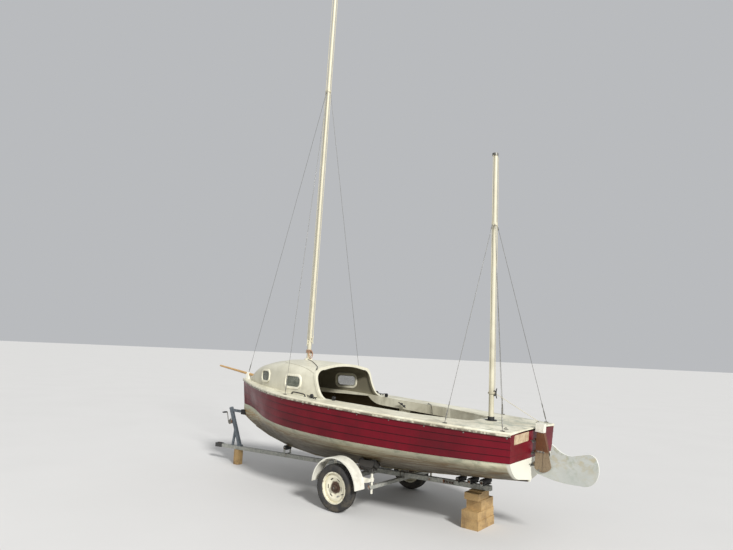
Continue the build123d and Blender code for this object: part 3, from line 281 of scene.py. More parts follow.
def add_piece(name, shapes, finish, body=HULL, stands_for=(), bevel=0.0):
    """Makes one object from shapes, gives it its finish and body, and rounds its edges where asked."""
    points, faces, count = [], [], 0
    for shape_points, shape_faces in shapes:
        points.append(shape_points)
        faces += [[k + count for k in face] for face in shape_faces]
        count += len(shape_points)
    mesh = bpy.data.meshes.new(name)
    mesh.from_pydata(np.vstack(points).tolist(), [], faces)
    mesh.validate()
    mesh.polygons.foreach_set("use_smooth", np.ones(len(mesh.polygons), bool))
    mesh.set_sharp_from_angle(angle=SHARP_EDGE)
    mesh.materials.append(finishes[finish])
    piece = bpy.data.objects.new(name, mesh)
    bpy.context.scene.collection.objects.link(piece)
    if bevel:
        rounding = piece.modifiers.new("rounded edges", "BEVEL")
        rounding.width, rounding.segments = bevel, 2
        rounding.limit_method, rounding.angle_limit = "ANGLE", SHARP_EDGE
    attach(piece, body)
    if stands_for:
        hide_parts(*stands_for)
    return piece


# Node trees

def linear(red, green, blue):
    """Screen values from 0 to 255 as the linear values that shaders use."""
    share = np.array((red, green, blue)) / 255.0
    value = np.where(share <= 0.04045, share / 12.92, ((share + 0.055) / 1.055) ** 2.4)
    return (*value.tolist(), 1.0)


class Field:
    """A node's output that can be reckoned with: each sign puts a math node behind it."""

    def __init__(self, graph, socket):
        self.graph, self.socket = graph, socket

    def __add__(self, other):
        return self.graph.math("ADD", self, other)

    def __sub__(self, other):
        return self.graph.math("SUBTRACT", self, other)

    def __rsub__(self, other):
        return self.graph.math("SUBTRACT", other, self)

    def __mul__(self, other):
        return self.graph.math("MULTIPLY", self, other)

    def __truediv__(self, other):
        return self.graph.math("DIVIDE", self, other)

    __radd__, __rmul__ = __add__, __mul__


class Graph:
    """Short way to fill a node tree."""

    def __init__(self, tree):
        self.tree = tree

    def feed(self, node, **feeds):
        """Links or sets inputs, each under its name with _ for a space, or _ and its number."""
        for key, value in feeds.items():
            socket = node.inputs[int(key[1:]) if key[1:].isdigit() else key.replace("_", " ")]
            if isinstance(value, Field):
                self.tree.links.new(value.socket, socket)
            else:
                screen = socket.type == "RGBA" and len(value) == 3
                socket.default_value = linear(*value) if screen else value

    def add(self, kind, output=0, settings=None, **feeds):
        """Makes a node with its settings and inputs, and gives one of its outputs."""
        node = self.tree.nodes.new("ShaderNode" + kind)
        for key, value in (settings or {}).items():
            setattr(node, key, value)
        self.feed(node, **feeds)
        return Field(self, node.outputs[output])

    def use(self, name, **feeds):
        """Places a shared group and gives its outputs by name."""
        node = self.tree.nodes.new("ShaderNodeGroup")
        node.node_tree = bpy.data.node_groups[name]
        self.feed(node, **feeds)
        return {socket.name: Field(self, socket) for socket in node.outputs}

    def place(self, scale=(1.0, 1.0, 1.0)):
        """Object coordinates, stretched by scale."""
        return self.add("Mapping", Vector=self.add("TexCoord", "Object"), Scale=scale)

    def parts(self, source="Object"):
        """X, Y and Z of the object coordinates or of the normal."""
        node = self.tree.nodes.new("ShaderNodeSeparateXYZ")
        self.feed(node, Vector=self.add("TexCoord", source))
        return [Field(self, socket) for socket in node.outputs]

    def forward(self):
        """Distance forward of the transom."""
        return self.parts()[0] - TRANSOM_X

    def noise(self, scale, detail=4.0, roughness=0.55, distortion=0.0, at=(1.0, 1.0, 1.0)):
        """Noise at a place, or at the object coordinates with a stretch."""
        at = at if isinstance(at, Field) else self.place(at)
        return self.add("TexNoise", "Fac", Vector=at, Scale=scale, Detail=detail, Roughness=roughness,
                        Distortion=distortion)

    def ramp(self, value, low, high, start=0.0, end=1.0):
        """Value read from low..high as start..end, smoothly."""
        return self.add("MapRange", 0, {"interpolation_type": "SMOOTHSTEP"}, Value=value, From_Min=low,
                        From_Max=high, To_Min=start, To_Max=end)

    def mix(self, share, first, second):
        """Colour that goes from the first to the second with share."""
        return self.add("Mix", 2, {"data_type": "RGBA"}, _0=share, _6=first, _7=second)

    def math(self, kind, first, second=0.0, clamp=False):
        """One step of arithmetic."""
        return self.add("Math", 0, {"operation": kind, "use_clamp": clamp}, _0=first, _1=second)


# Kind of a group's socket, by its name; any other is a plain value
SOCKETS = {"Colour": "NodeSocketColor", "Dirt": "NodeSocketColor", "Light": "NodeSocketColor",
           "Dark": "NodeSocketColor", "Stretch": "NodeSocketVector"}


class Group(Graph):
    """Shared shader group, its sockets named in two lists of words."""

    def __init__(self, name, inputs, outputs):
        super().__init__(bpy.data.node_groups.new(name, "ShaderNodeTree"))
        for way, labels in (("INPUT", inputs), ("OUTPUT", outputs)):
            for label in labels.split():
                kind = SOCKETS.get(label, "NodeSocketFloat")
                self.tree.interface.new_socket(label, in_out=way, socket_type=kind)
        entry = self.tree.nodes.new("NodeGroupInput")
        self.given = [Field(self, socket) for socket in entry.outputs if socket.name]
        self.leave = self.tree.nodes.new("NodeGroupOutput")

    def give(self, **feeds):
        """Links the group's outputs."""
        self.feed(self.leave, **feeds)


def weathering_group():
    """Dirt that gathers in patches and runs down in streaks, thicker below a height."""
    g = Group("weathering", "Colour Dirt Amount Scale Top Bottom Streaks", "Colour")
    colour, dirt, amount, scale, top, bottom, streaks = g.given
    patches = g.ramp(g.noise(scale, 6.0, 0.62, 0.4), 0.42, 0.68)
    runs = g.ramp(g.noise(2.6, 5.0, 0.6, at=(9.0, 9.0, 0.9)), 0.48, 0.72) * streaks
    stain = patches * (g.ramp(g.parts()[2], top, bottom) * 0.85 + 0.15) + runs
    g.give(Colour=g.mix(g.math("MULTIPLY", stain, amount, clamp=True), colour, dirt))


def scuff_group():
    """Fine scratches and pits as a height for bump, and a roughness that changes with them."""
    g = Group("scuffs", "Scale Smoothest Roughest", "Height Roughness")
    scale, smoothest, roughest = g.given
    fine = g.noise(scale, 8.0, 0.7)
    rough = g.add("MapRange", Value=(fine + g.noise(3.1, 3.0)) * 0.5, From_Min=0.35, From_Max=0.65,
                  To_Min=smoothest, To_Max=roughest)
    g.give(Height=fine, Roughness=rough)


def rust_group():
    """Rust that breaks through in flakes: colour over the given one, and a mask."""
    g = Group("rust", "Colour Amount Scale", "Colour Mask")
    colour, amount, scale = g.given
    edge = 0.72 - amount * 0.34
    mask = g.ramp(g.noise(scale, 9.0, 0.72, 0.3), edge, edge + 0.05)
    tint = g.mix(g.noise(55.0, 5.0), (0.10, 0.032, 0.014, 1.0), (0.33, 0.12, 0.04, 1.0))
    g.give(Colour=g.mix(mask, colour, tint), Mask=mask)


def grain_group():
    """Timber grain: noise stretched along one axis, with darker latewood lines."""
    g = Group("grain", "Stretch Light Dark", "Colour Height")
    stretch, light, dark = g.given
    along = g.place(stretch)
    late = g.ramp(g.math("FRACT", g.noise(6.0, 6.0, 0.62, 0.8, at=along) * 9.0), 0.55, 0.95)
    g.give(Colour=g.mix(late * 0.55 + g.noise(40.0, 3.0, at=along) * 0.45, light, dark), Height=late)


def lands_group():
    """Strakes counted up from the lowest land, 4 (z - low) / (sheer - low), and the depth below it."""
    g = Group("lands", "Transom", "Strakes Depth")
    x, _, height = g.parts()
    x = x - g.given[0]
    low, sheer = ((x * c2 + c1) * x + c0 for c0, c1, c2 in (LOWEST_LAND, SHEER))
    above = height - low
    g.give(Strakes=above / (sheer - low) * 4.0, Depth=above * -1.0)


def facing_group():
    """Masks from the object's own normal: faces that look up, that look down, and those that look inboard."""
    g = Group("facing", "", "Up Down Inboard")
    ahead, abeam, upward = g.parts("Normal")
    sideways = g.ramp(abeam * g.parts()[1], -0.02, -0.06)
    transom = g.ramp(ahead, 0.6, 0.8) * g.ramp(g.forward(), 0.16, 0.12)
    g.give(Up=g.ramp(upward, 0.80, 0.97), Down=g.ramp(upward, -0.35, -0.80),
           Inboard=g.math("MAXIMUM", sideways, transom))


def grime_group():
    """Long stains drawn out fore and aft, and pale green-grey blooms, as two masks."""
    g = Group("grime", "", "Lines Bloom")
    g.give(Lines=g.ramp(g.noise(3.0, 7.0, 0.68, 0.3, at=(0.7, 5.0, 15.0)), 0.40, 0.62),
           Bloom=g.ramp(g.noise(5.5, 8.0, 0.7, 0.6, at=(1.0, 1.0, 1.6)), 0.46, 0.62))


# Finishes

finishes = {}


class Finish(Graph):
    """Material with its Principled shader, kept under its name."""

    def __init__(self, name, **settings):
        finishes[name] = bpy.data.materials.new(name)
        finishes[name].use_nodes = True
        super().__init__(finishes[name].node_tree)
        self.shader = self.tree.nodes["Principled BSDF"]
        self.feed(self.shader, Coat_Roughness=0.12, **settings)

    def lay(self, colour, scuffs, bump=0.2, depth=0.001, height=None, duller=None):
        """Links colour, scuffed roughness and bump; scuffs holds their scale and the least and most rough."""
        scuff = self.use("scuffs", Scale=scuffs[0], Smoothest=scuffs[1], Roughest=scuffs[2])
        rough = scuff["Roughness"]
        if duller:
            rough = self.math("MAXIMUM", rough, duller)
        self.feed(self.shader, Base_Color=colour, Roughness=rough)
        if bump:
            normal = self.add("Bump", Strength=bump, Distance=depth, Height=height or scuff["Height"])
            self.feed(self.shader, Normal=normal)


def metal(name, colour, second, rough, rust, rust_scale=6.0, metallic=0.85):
    """Bare or galvanised metal: crystals of two tones, rust breaking through."""
    g = Finish(name)
    crystals = g.add("SeparateColor", Color=g.add("TexVoronoi", "Color", Vector=g.place(), Scale=45.0))
    flaked = g.use("rust", Colour=g.mix(crystals, colour, second), Amount=rust, Scale=rust_scale)
    g.lay(flaked["Colour"], (90.0, *rough), depth=0.002, duller=flaked["Mask"] * 0.85)
    g.feed(g.shader, Metallic=(1.0 - flaked["Mask"]) * metallic)


def timber(name, light, dark, stretch, dirt, amount, top, bottom):
    """Wood with its grain along the short stretch, darkened by dirt."""
    g = Finish(name)
    wood = g.use("grain", Stretch=stretch, Light=light, Dark=dark)
    worn = g.use("weathering", Colour=wood["Colour"], Dirt=dirt, Amount=amount, Scale=7.0, Top=top,
                 Bottom=bottom, Streaks=0.2)
    g.lay(worn["Colour"], (60.0, 0.55, 0.8), 0.35, 0.002, wood["Height"])


def plain_coat(name, colour, second, rough, dirt=(0.12, 0.1, 0.07, 1.0), amount=0.3, scale=8.0, top=1.0,
               bottom=0.2, rust=0.0, metallic=0.0):
    """Paint, plastic or rubber: two near tones, dirt low down, chips of rust where asked."""
    g = Finish(name, Metallic=metallic)
    tone = g.use("weathering", Colour=g.mix(g.noise(scale, 5.0), colour, second), Dirt=dirt, Amount=amount,
                 Scale=scale, Top=top, Bottom=bottom, Streaks=0.25)["Colour"]
    if rust:
        tone = g.use("rust", Colour=tone, Amount=rust, Scale=14.0)["Colour"]
    g.lay(tone, (120.0, *rough), 0.15, 0.002)


def topsides(paint):
    """Red gelcoat with a dark line below every land that is painted shadow mixed with grime, chalky patches,
    painted shade on faces that look down, and bare cream moulding inboard darkened as painted shade.
    """
    g = Finish("red gelcoat", Specular_IOR_Level=0.22)
    tone = g.mix(g.ramp(g.noise(1.7, 5.0), 0.35, 0.7), paint.topsides, (84, 3, 18))
    worn = g.use("weathering", Colour=tone, Dirt=(64, 16, 24), Amount=0.45, Scale=3.0, Top=1.15, Bottom=0.8,
                 Streaks=0.4)
    # Painted shadow mixed with grime: a dark line just below each land, where the upper strake overlaps the
    # lower, broken up by noise.
    lap_shade_and_grime = g.ramp(g.math("FRACT", g.use("lands", Transom=TRANSOM_X)["Strakes"]), 0.84, 0.985)
    lap_shade_and_grime = lap_shade_and_grime * g.ramp(g.noise(4.0, 4.0, at=(2.0, 2.0, 1.0)), 0.15, 0.5, 0.55, 0.95)
    tone = g.mix(lap_shade_and_grime * g.ramp(g.forward(), 0.004, 0.03), worn["Colour"], (36, 5, 12))
    facing = g.use("facing")
    # Painted shade: faces that look down are darkened.
    tone = g.mix(facing["Down"], tone, (34, 6, 12))
    # Inboard faces: bare cream moulding, darkened to brown as painted shade.
    inside = g.mix(g.noise(6.0, 5.0), (96, 84, 62), (64, 54, 38))
    g.lay(g.mix(facing["Inboard"], tone, inside), (140.0, 0.3, 0.5), 0.12)


def bottom(paint):
    """Cream bottom: green-grey bloom at the top, yellow-brown lines lower down, painted shade mixed with dark
    streaks towards the keel, and painted shade on faces that look down.
    """
    g = Finish("cream bottom", Coat_Weight=0.08)
    depth, grime, x = g.use("lands", Transom=TRANSOM_X)["Depth"], g.use("grime"), g.forward()
    tone = g.mix(grime["Bloom"] * 0.7, paint.bottom, (166, 172, 146))
    tone = g.mix(g.ramp(x, 2.4, 4.6, 0.0, 0.55), tone, (132, 140, 122))
    tone = g.mix(g.ramp(depth, 0.02, 0.11) * (grime["Lines"] * 0.75 + 0.25), tone, (150, 112, 50))
    # Painted shade mixed with dark streaks: darker with depth below the lowest land, towards the keel.
    tone = g.mix(g.ramp(depth, 0.09, 0.22) * (grime["Lines"] * 0.45 + 0.50), tone, (64, 50, 28))
    # Painted shade: faces that look down are darkened.
    tone = g.mix(g.use("facing")["Down"] * 0.7, tone, (46, 38, 24))
    g.lay(g.mix(g.ramp(x, 0.075, 0.05), tone, (216, 214, 198)), (120.0, 0.35, 0.65))


def deck_cream(name, colour, second, lichen, inboard_shade=0.0):
    """Cream moulding: grey-green lichen on what looks up, a dashed painted shadow under the gunwale's bead,
    painted shade where it looks down, and painted shade inboard where asked.
    """
    g = Finish(name, Coat_Weight=0.1)
    tone = g.mix(g.ramp(g.noise(2.2, 5.0), 0.3, 0.7), colour, second)
    tone = g.use("weathering", Colour=tone, Dirt=(132, 124, 98), Amount=0.4, Scale=3.4, Top=1.9, Bottom=1.1,
                 Streaks=0.35)["Colour"]
    facing = g.use("facing")
    share = facing["Up"] * g.use("grime")["Bloom"] * g.ramp(g.forward(), 0.9, 0.4, 0.18, 0.75 * lichen)
    tone = g.mix(share, tone, (150, 156, 140))
    strakes = g.use("lands", Transom=TRANSOM_X)["Strakes"]
    # Painted shadow: a dark dashed band just under the sheer on outward faces, below the gunwale's bead.
    bead_shadow = g.ramp(strakes, 4.10, 3.98) * (1.0 - facing["Inboard"])
    tone = g.mix(bead_shadow * g.ramp(g.noise(16.0, 3.0), 0.38, 0.56, 0.25, 0.85), tone, (70, 54, 42))
    # Painted shade: faces that look down are darkened.
    tone = g.mix(facing["Down"] * 0.6, tone, (92, 84, 64))
    # Painted shade: inboard faces darkened to grey-brown, by the given share.
    if inboard_shade:
        inside = g.mix(g.noise(3.0, 5.0), (112, 106, 84), (86, 78, 58))
        tone = g.mix(facing["Inboard"] * inboard_shade, tone, inside)
    g.lay(tone, (140.0, 0.32, 0.6), 0.14)


def liner():
    """Moulding inside the cockpit, darkened in patches and runs, more so low down."""
    g = Finish("liner", Coat_Weight=0.25)
    tone = g.mix(g.ramp(g.noise(1.7, 4.0), 0.3, 0.7), (176, 168, 142), (140, 132, 108))
    worn = g.use("weathering", Colour=tone, Dirt=(62, 54, 38), Amount=0.9, Scale=4.0, Top=1.2, Bottom=0.6,
                 Streaks=0.5)
    g.lay(worn["Colour"], (140.0, 0.4, 0.7), 0.12)


def wheel_paint():
    """Cream-white wheel, its paint gone round the hub and chipped to dark rust at the lip."""
    g = Finish("wheel paint")
    x, _, z = g.parts()
    x, z = x - AXLE.x, z - AXLE.z
    r = g.math("SQRT", x * x + z * z)
    patches = g.noise(22.0, 5.0, 0.6, 0.4)
    tone = g.mix(g.noise(12.0, 5.0), (228, 223, 200), (206, 199, 174))
    bare = g.mix(g.noise(60.0, 4.0), (48, 36, 30), (92, 64, 44))
    tone = g.mix(g.ramp(r + patches * 0.075, 0.125, 0.098), tone, bare)
    lip = g.ramp(r, 0.165, 0.186) * g.ramp(patches, 0.50, 0.62, 0.0, 0.8)
    g.lay(g.mix(lip, tone, (108, 88, 66)), (110.0, 0.4, 0.7))


def stock():
    """Varnished timber, dark above, its varnish gone and the wood bleached below, with one dark seam."""
    g = Finish("varnished wood", Coat_Weight=0.15)
    x, _, height = g.parts()
    upright = (9.0, 9.0, 0.8)
    fresh = g.use("grain", Stretch=upright, Light=(112, 68, 34), Dark=(54, 30, 16))
    bare = g.use("grain", Stretch=upright, Light=(150, 132, 104), Dark=(84, 66, 48))
    bleached = g.ramp(height + g.noise(14.0, 5.0) * 0.10, 1.005, 0.955)
    tone = g.mix(bleached * g.ramp(height, 0.705, 0.745, 0.55, 1.0), fresh["Colour"], bare["Colour"])
    off = g.math("ABSOLUTE", x - (TRANSOM_X - 0.112) + (height - 0.90) * RUDDER_RAKE)
    seam = g.ramp(off, 0.0045, 0.0015) * g.ramp(height, 0.985, 0.965) * 0.8
    g.lay(g.mix(seam, tone, (42, 28, 18)), (60.0, 0.4, 0.7), 0.3, 0.002, fresh["Height"])


def prop():
    """White support rod whose rocker above the clamp is dark, worn paint."""
    g = Finish("prop paint")
    pale = g.mix(g.noise(9.0, 5.0), (222, 220, 206), (196, 192, 176))
    dark = g.mix(g.noise(14.0, 6.0), (62, 58, 52), (38, 36, 34))
    tone = g.mix(g.ramp(g.parts()[2], 0.485, 0.505), pale, dark)
    g.lay(g.use("rust", Colour=tone, Amount=0.2, Scale=12.0)["Colour"], (90.0, 0.45, 0.75))


def blade():
    """Grey moulded blade with a painted highlight along its bevelled edge, mottled green and yellow, more so
    near its top.
    """
    g = Finish("pale blade", Coat_Weight=0.05)
    tone = g.mix(g.noise(7.0, 6.0, at=(1.0, 3.0, 2.0)), (194, 196, 190), (168, 171, 164))
    hue = g.mix(g.ramp(g.noise(4.0, 3.0), 0.4, 0.6), (132, 148, 130), (172, 160, 122))
    stain = g.ramp(g.noise(13.0, 8.0, 0.74, 0.5, at=(1.0, 1.0, 1.3)), 0.44, 0.60)
    tone = g.mix(stain * g.ramp(g.parts()[2], 0.70, 0.92, 0.2, 0.65), tone, hue)
    # Painted highlight: faces that don't look straight to either side, the bevelled edge, are lightened
    # towards near white.
    edge = g.ramp(g.math("ABSOLUTE", g.parts("Normal")[1]), 0.985, 0.80)
    g.lay(g.mix(edge * 0.8, tone, (232, 231, 222)), (90.0, 0.4, 0.7))


def glass():
    """Dark acrylic with haze and dust."""
    g = Finish("window glass", Coat_Weight=0.4, Alpha=0.42)
    tone = g.mix(g.ramp(g.noise(9.0, 5.0), 0.35, 0.7), (112, 118, 104), (146, 150, 136))
    g.lay(tone, (120.0, 0.08, 0.3), bump=0.0)


def common_finishes():
    """Finishes that differ only in colour, dirt, rust and roughness."""
    plain_coat("alloy spar", (206, 200, 176), (190, 184, 162), (0.4, 0.65), (140, 132, 108), 0.35, 5.0, 3.2,
               1.4, metallic=0.1)
    metal("stainless", (132, 130, 124), (104, 102, 96), (0.3, 0.55), 0.1, metallic=0.75)
    metal("galvanised", (172, 172, 162), (140, 142, 136), (0.5, 0.75), 0.30, metallic=0.3)
    metal("post paint", (112, 120, 126), (92, 98, 102), (0.5, 0.75), 0.30, metallic=0.2)
    metal("rusty steel", (88, 66, 50), (60, 44, 36), (0.6, 0.85), 0.6, 10.0, 0.4)
    metal("dull steel", (168, 160, 146), (136, 128, 114), (0.5, 0.7), 0.2, metallic=0.3)
    metal("rusty galvanised", (138, 136, 128), (108, 104, 96), (0.5, 0.75), 0.55, 9.0, 0.5)
    plain_coat("hub iron", (58, 46, 40), (84, 62, 48), (0.6, 0.85), rust=0.12, metallic=0.3)
    plain_coat("cast coupling", (70, 70, 68), (48, 48, 48), (0.5, 0.8), rust=0.3, metallic=0.3)
    plain_coat("white paint", (228, 226, 214), (210, 206, 190), (0.35, 0.6), rust=0.12)
    plain_coat("tyre rubber", (52, 51, 50), (36, 36, 36), (0.75, 0.95), (112, 102, 84), 0.45, top=0.6,
               bottom=0.0)
    plain_coat("black rubber", (38, 38, 38), (26, 26, 26), (0.6, 0.85))
    plain_coat("black plastic", (34, 34, 36), (24, 24, 24), (0.4, 0.6), amount=0.15)
    plain_coat("rope white", (204, 198, 176), (172, 164, 142), (0.8, 0.95), amount=0.2)
    plain_coat("rope tan", (176, 140, 110), (140, 104, 84), (0.8, 0.95), amount=0.2)
    plain_coat("rope dark", (48, 44, 42), (70, 62, 56), (0.8, 0.95), amount=0.2)
    plain_coat("webbing", (60, 66, 84), (44, 48, 60), (0.8, 0.95))
    plain_coat("name plate", (206, 190, 156), (168, 140, 112), (0.4, 0.6), (120, 84, 66), 0.6, 16.0, 1.3, 1.0)
    timber("spruce spar", (196, 160, 108), (142, 106, 64), (0.6, 9.0, 9.0), (0.05, 0.04, 0.03, 1.0), 0.3, 1.2,
           0.6)
    timber("block timber", (192, 160, 108), (134, 106, 68), (9.0, 0.9, 9.0), (84, 62, 42), 0.7, 0.45, -0.1)


NODE_FINISHES = {
    "red gelcoat": "hull_topsides",
    "cream bottom": "hull_bottom",
    "cream deck": "deck_moulding mast_step",
    "cuddy cream": "cuddy",
    "liner": "cockpit_liner aft_bulkhead centreplate_case thwart",
    "window glass": "cuddy_panes",
    "alloy spar": "main_mast mizzen_mast",
    "stainless": "main_shrouds forestay mizzen_stays turnbuckles chainplates rudder_gudgeons",
    "black plastic": "mizzen_collar",
    "spruce spar": "bowsprit",
    "white paint": "bowsprit_chock rudder_head mudguards mudguard_brackets",
    "wheel paint": "wheel_rim_port wheel_rim_starboard",
    "prop paint": "side_props",
    "varnished wood": "rudder_stock",
    "pale blade": "rudder_blade",
    "galvanised": "trailer_beam axle_tube suspension_arms support_crossbar roller_brackets",
    "post paint": "winch_post",
    "hub iron": "wheel_hub_port wheel_hub_starboard",
    "cast coupling": "coupling_head",
    "tyre rubber": "tyre_port tyre_starboard",
    "black rubber": "keel_rollers side_pads bow_snubber",
    "block timber": "front_block tail_block_1 tail_block_2 tail_block_3 tail_block_4 tail_slab",
}


# Properties

class DinghyPaint(bpy.types.PropertyGroup):
    """Main colours, as linear values."""
    topsides: FloatVectorProperty(name="Topsides", description="Red of the clinker topsides", subtype="COLOR",
                                  size=4, min=0.0, max=1.0, default=linear(106, 3, 24))
    bottom: FloatVectorProperty(name="Bottom", description="Cream below the lowest land", subtype="COLOR",
                                size=4, min=0.0, max=1.0, default=linear(224, 220, 190))
    deck: FloatVectorProperty(name="Deck", description="Cream white of the deck", subtype="COLOR",
                              size=4, min=0.0, max=1.0, default=linear(230, 226, 204))


class DinghySizes(bpy.types.PropertyGroup):
    """Sizes that a user may change."""
    tread_blocks: IntProperty(name="Tread blocks", description="Blocks round each tyre", default=58, min=20,
                              max=90)
    tread_depth: FloatProperty(name="Tread depth", description="Depth of the grooves", default=0.006,
                               unit="LENGTH", min=0.0)
    window_frame: FloatProperty(name="Window frame", description="Width of the moulded window surround",
                                default=0.036, unit="LENGTH", min=0.005)
    halyard: FloatProperty(name="Halyard", description="Diameter of the running rope", default=0.010,
                           unit="LENGTH", min=0.004)


class DinghyCamera(bpy.types.PropertyGroup):
    """Where the photograph was taken from."""
    place: FloatVectorProperty(name="Place", description="Camera's place", subtype="XYZ", unit="LENGTH",
                               default=(-4.8664, 6.1387, 1.9405))
    heading: FloatProperty(name="Heading", description="Turn about Z from the X axis", unit="ROTATION",
                           default=-0.9028)
    climb: FloatProperty(name="Climb", description="Look upwards", unit="ROTATION", default=0.143)
    roll: FloatProperty(name="Roll", description="Lean of the picture", unit="ROTATION", default=0.044)
    focal_share: FloatProperty(name="Focal share", description="Focal length over the picture's width",
                               default=538.745 / 733.0)


# Pieces

def tyre(sizes, side):
    """Section (r, y) carried round the axle; grooves cut into r where waves across and round it are low."""
    node = "tyre_" + side
    low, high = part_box(node)
    middle = (low + high) / 2
    radius, half = (high.z - low.z) / 2, (high.y - low.y) / 2
    wall = smooth_path([(0.186, 0.050), (0.196, 0.060), (0.214, 0.069), (0.239, half), (0.262, 0.067),
                        (0.274, 0.057), (radius - 0.0015, 0.036), (radius, 0.0)], 9)
    section = np.vstack([wall, (wall * (1.0, -1.0))[-2::-1]])
    ring = np.linspace(0.0, 2.0 * math.pi, 360, endpoint=False)
    y, turn = np.meshgrid(section[:, 1], ring, indexing="ij")
    r = np.repeat(section[:, :1], len(ring), axis=1)
    from_middle = np.abs(y)
    tread = np.clip((r - (radius - 0.016)) / 0.010, 0.0, 1.0)
    rib = np.clip((0.006 - np.abs(from_middle - 0.022)) / 0.0025, 0.0, 1.0)
    wave = np.sin(turn * sizes.tread_blocks + np.sign(y) * 1.4 + from_middle * 60.0)
    cut = np.clip((wave - 0.62) / 0.2, 0.0, 1.0) * np.clip((from_middle - 0.024) / 0.003, 0.0, 1.0)
    r = r - sizes.tread_depth * tread * np.maximum(rib, cut)
    raised = np.exp(-((r - 0.212) / 0.003) ** 2) + np.exp(-((r - 0.246) / 0.003) ** 2)
    y = y + np.sign(y) * (0.0016 * raised - 0.002)
    grid = np.stack([middle.x + r * np.sin(turn), middle.y + y, middle.z + r * np.cos(turn)], axis=-1)
    add_piece("tyre_tread_" + side, [surface(grid[::-1], round_rows=True, round_columns=True)], "tyre rubber",
              "wheel_" + side, (node,))


def wheel_bolts(side):
    """Four wheel bolts on a circle about the axle, and the tyre's valve."""
    out = 1.0 if side == "port" else -1.0
    low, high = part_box("wheel_rim_" + side)
    face = (high.y if out > 0 else low.y) - out * 0.037
    head = [(0.011, 0.0), (0.011, 0.010), (0.008, 0.014), (0.001, 0.015)]
    places = [(AXLE.x + 0.055 * math.cos(a), face, AXLE.z + 0.055 * math.sin(a))
              for a in math.pi / 4 + np.arange(4) * math.pi / 2]
    add_piece("wheel_bolts_" + side, [turned(head, place, (0, out, 0), 6) for place in places], "hub iron",
              "wheel_" + side)
    radial = np.array((math.cos(math.radians(200.0)), 0.0, math.sin(math.radians(200.0))))
    place, way = from_side("wheel_rim_" + side, np.array(AXLE) + 0.152 * radial, out)
    stem = [(0.008, -0.004), (0.008, 0.004), (0.004, 0.008), (0.004, 0.026), (0.005, 0.027), (0.005, 0.036)]
    add_piece("tyre_valve_" + side, [turned(stem, place, way - 0.5 * radial, 12)], "black rubber",
              "wheel_" + side)


def surround(x, z, length, height, start, width):
    """Flat moulded frame round a window, on the face that rays from y = start meet."""
    outline = rounded_rectangle(length + width * 0.60, height + width * 0.60, 0.068, 9)
    path, ways = zip(*(seat("cuddy", boat(x + a, start, z + b), (0, -start, 0)) for a, b in outline))
    profile = np.array([(-0.5, -0.1), (0.5, -0.1), (0.42, 0.22), (0.0, 0.3), (-0.42, 0.22)]) * width
    return sweep(path, profile, ways, closed=True)


def fastenings():
    """Round heads in a row below the deck's edge, whose height is read just inside the gunwale."""
    heads = []
    head = [(0.009, -0.001), (0.009, 0.001), (0.006, 0.003), (0.0005, 0.004)]
    for x in np.arange(0.04, 4.9, 0.4527):
        edge, _ = from_side("deck_moulding", boat(x, 0.0, GUNWALE + SHEER[1] * x + SHEER[2] * x * x), 1.0)
        top, _ = from_above("deck_moulding", edge - (0.0, 0.006, 0.0))
        for side in SIDES:
            heads.append(turned(head, *from_side("hull_topsides", top - (0.0, 0.0, 0.063), side), 12))
    add_piece("gunwale_fastenings", heads, "stainless")


def name_plate():
    """Blank plate on the transom, tilted a little."""
    place, way = seat("hull_topsides", boat(-1.0, 0.348, 1.100), (1, 0, 0))
    c, s = math.cos(math.radians(1.6)), math.sin(math.radians(1.6))
    outline = rounded_rectangle(0.395, 0.100, 0.012) @ np.array([(c, s), (-s, c)])
    add_piece("name_plate", [plate(outline, 0.004, place - way * 0.001, ACROSS, way)], "name plate",
              bevel=0.001)


def side_knees():
    """Upright pad under each side deck, from the bench to the hull's side."""
    knees = []
    for side in SIDES:
        wall, _ = seat("hull_topsides", boat(2.14, 0.0, 1.20), (0, side, 0))
        near, far = boat(2.045, side * 0.566, 0.948), boat(2.240, wall[1] - side * 0.02, 1.226)
        (x0, y0, z0), (x1, y1, z1) = np.minimum(near, far), np.maximum(near, far)
        knees.append(plate([(x0, y0), (x1, y0), (x1, y1), (x0, y1)], z1 - z0, (0, 0, z0), (1, 0, 0), UP))
    add_piece("side_knees", knees, "cream deck", bevel=0.012)


def rail(side):
    """Bar that rises from the deck, runs along the cuddy's foot and goes down again, with two pads."""
    ends = [from_above("deck_moulding", boat(x, side * y))[0] for x, y in ((3.215, 0.675), (2.935, 0.700))]
    run = [(0.0, -0.004), (0.01, 0.016), (0.10, 0.027), (0.30, 0.030), (0.70, 0.030), (0.90, 0.027),
           (0.99, 0.016), (1.0, -0.004)]
    path = smooth_path([ends[0] + (ends[1] - ends[0]) * t + (0.0, 0.0, h) for t, h in run], 5)
    pads = [turned([(0.017, -0.002), (0.017, 0.004), (0.011, 0.009)], end, UP, 16) for end in ends]
    return [tube(path, 0.0085, 10, lift=(0, side, 0))] + pads


def block(x, y):
    """Sheave between two cheeks on a base: three short rounds beside each other."""
    place, way = from_above("deck_moulding", boat(x, y))
    middle, across = place + 0.030 * way, unit(np.cross(way, (1.0, 0.0, 0.0)))
    cheek = [(0.024, -0.0025), (0.026, 0.0), (0.024, 0.0025)]
    wheel = [(0.020, -0.008), (0.015, -0.003), (0.015, 0.003), (0.020, 0.008)]
    shapes = [turned(cheek, middle + off * across, across, 20) for off in (-0.011, 0.011)]
    return shapes + [turned(wheel, middle, across, 20),
                     turned([(0.024, -0.002), (0.024, 0.004), (0.014, 0.008)], place, way, 20)]


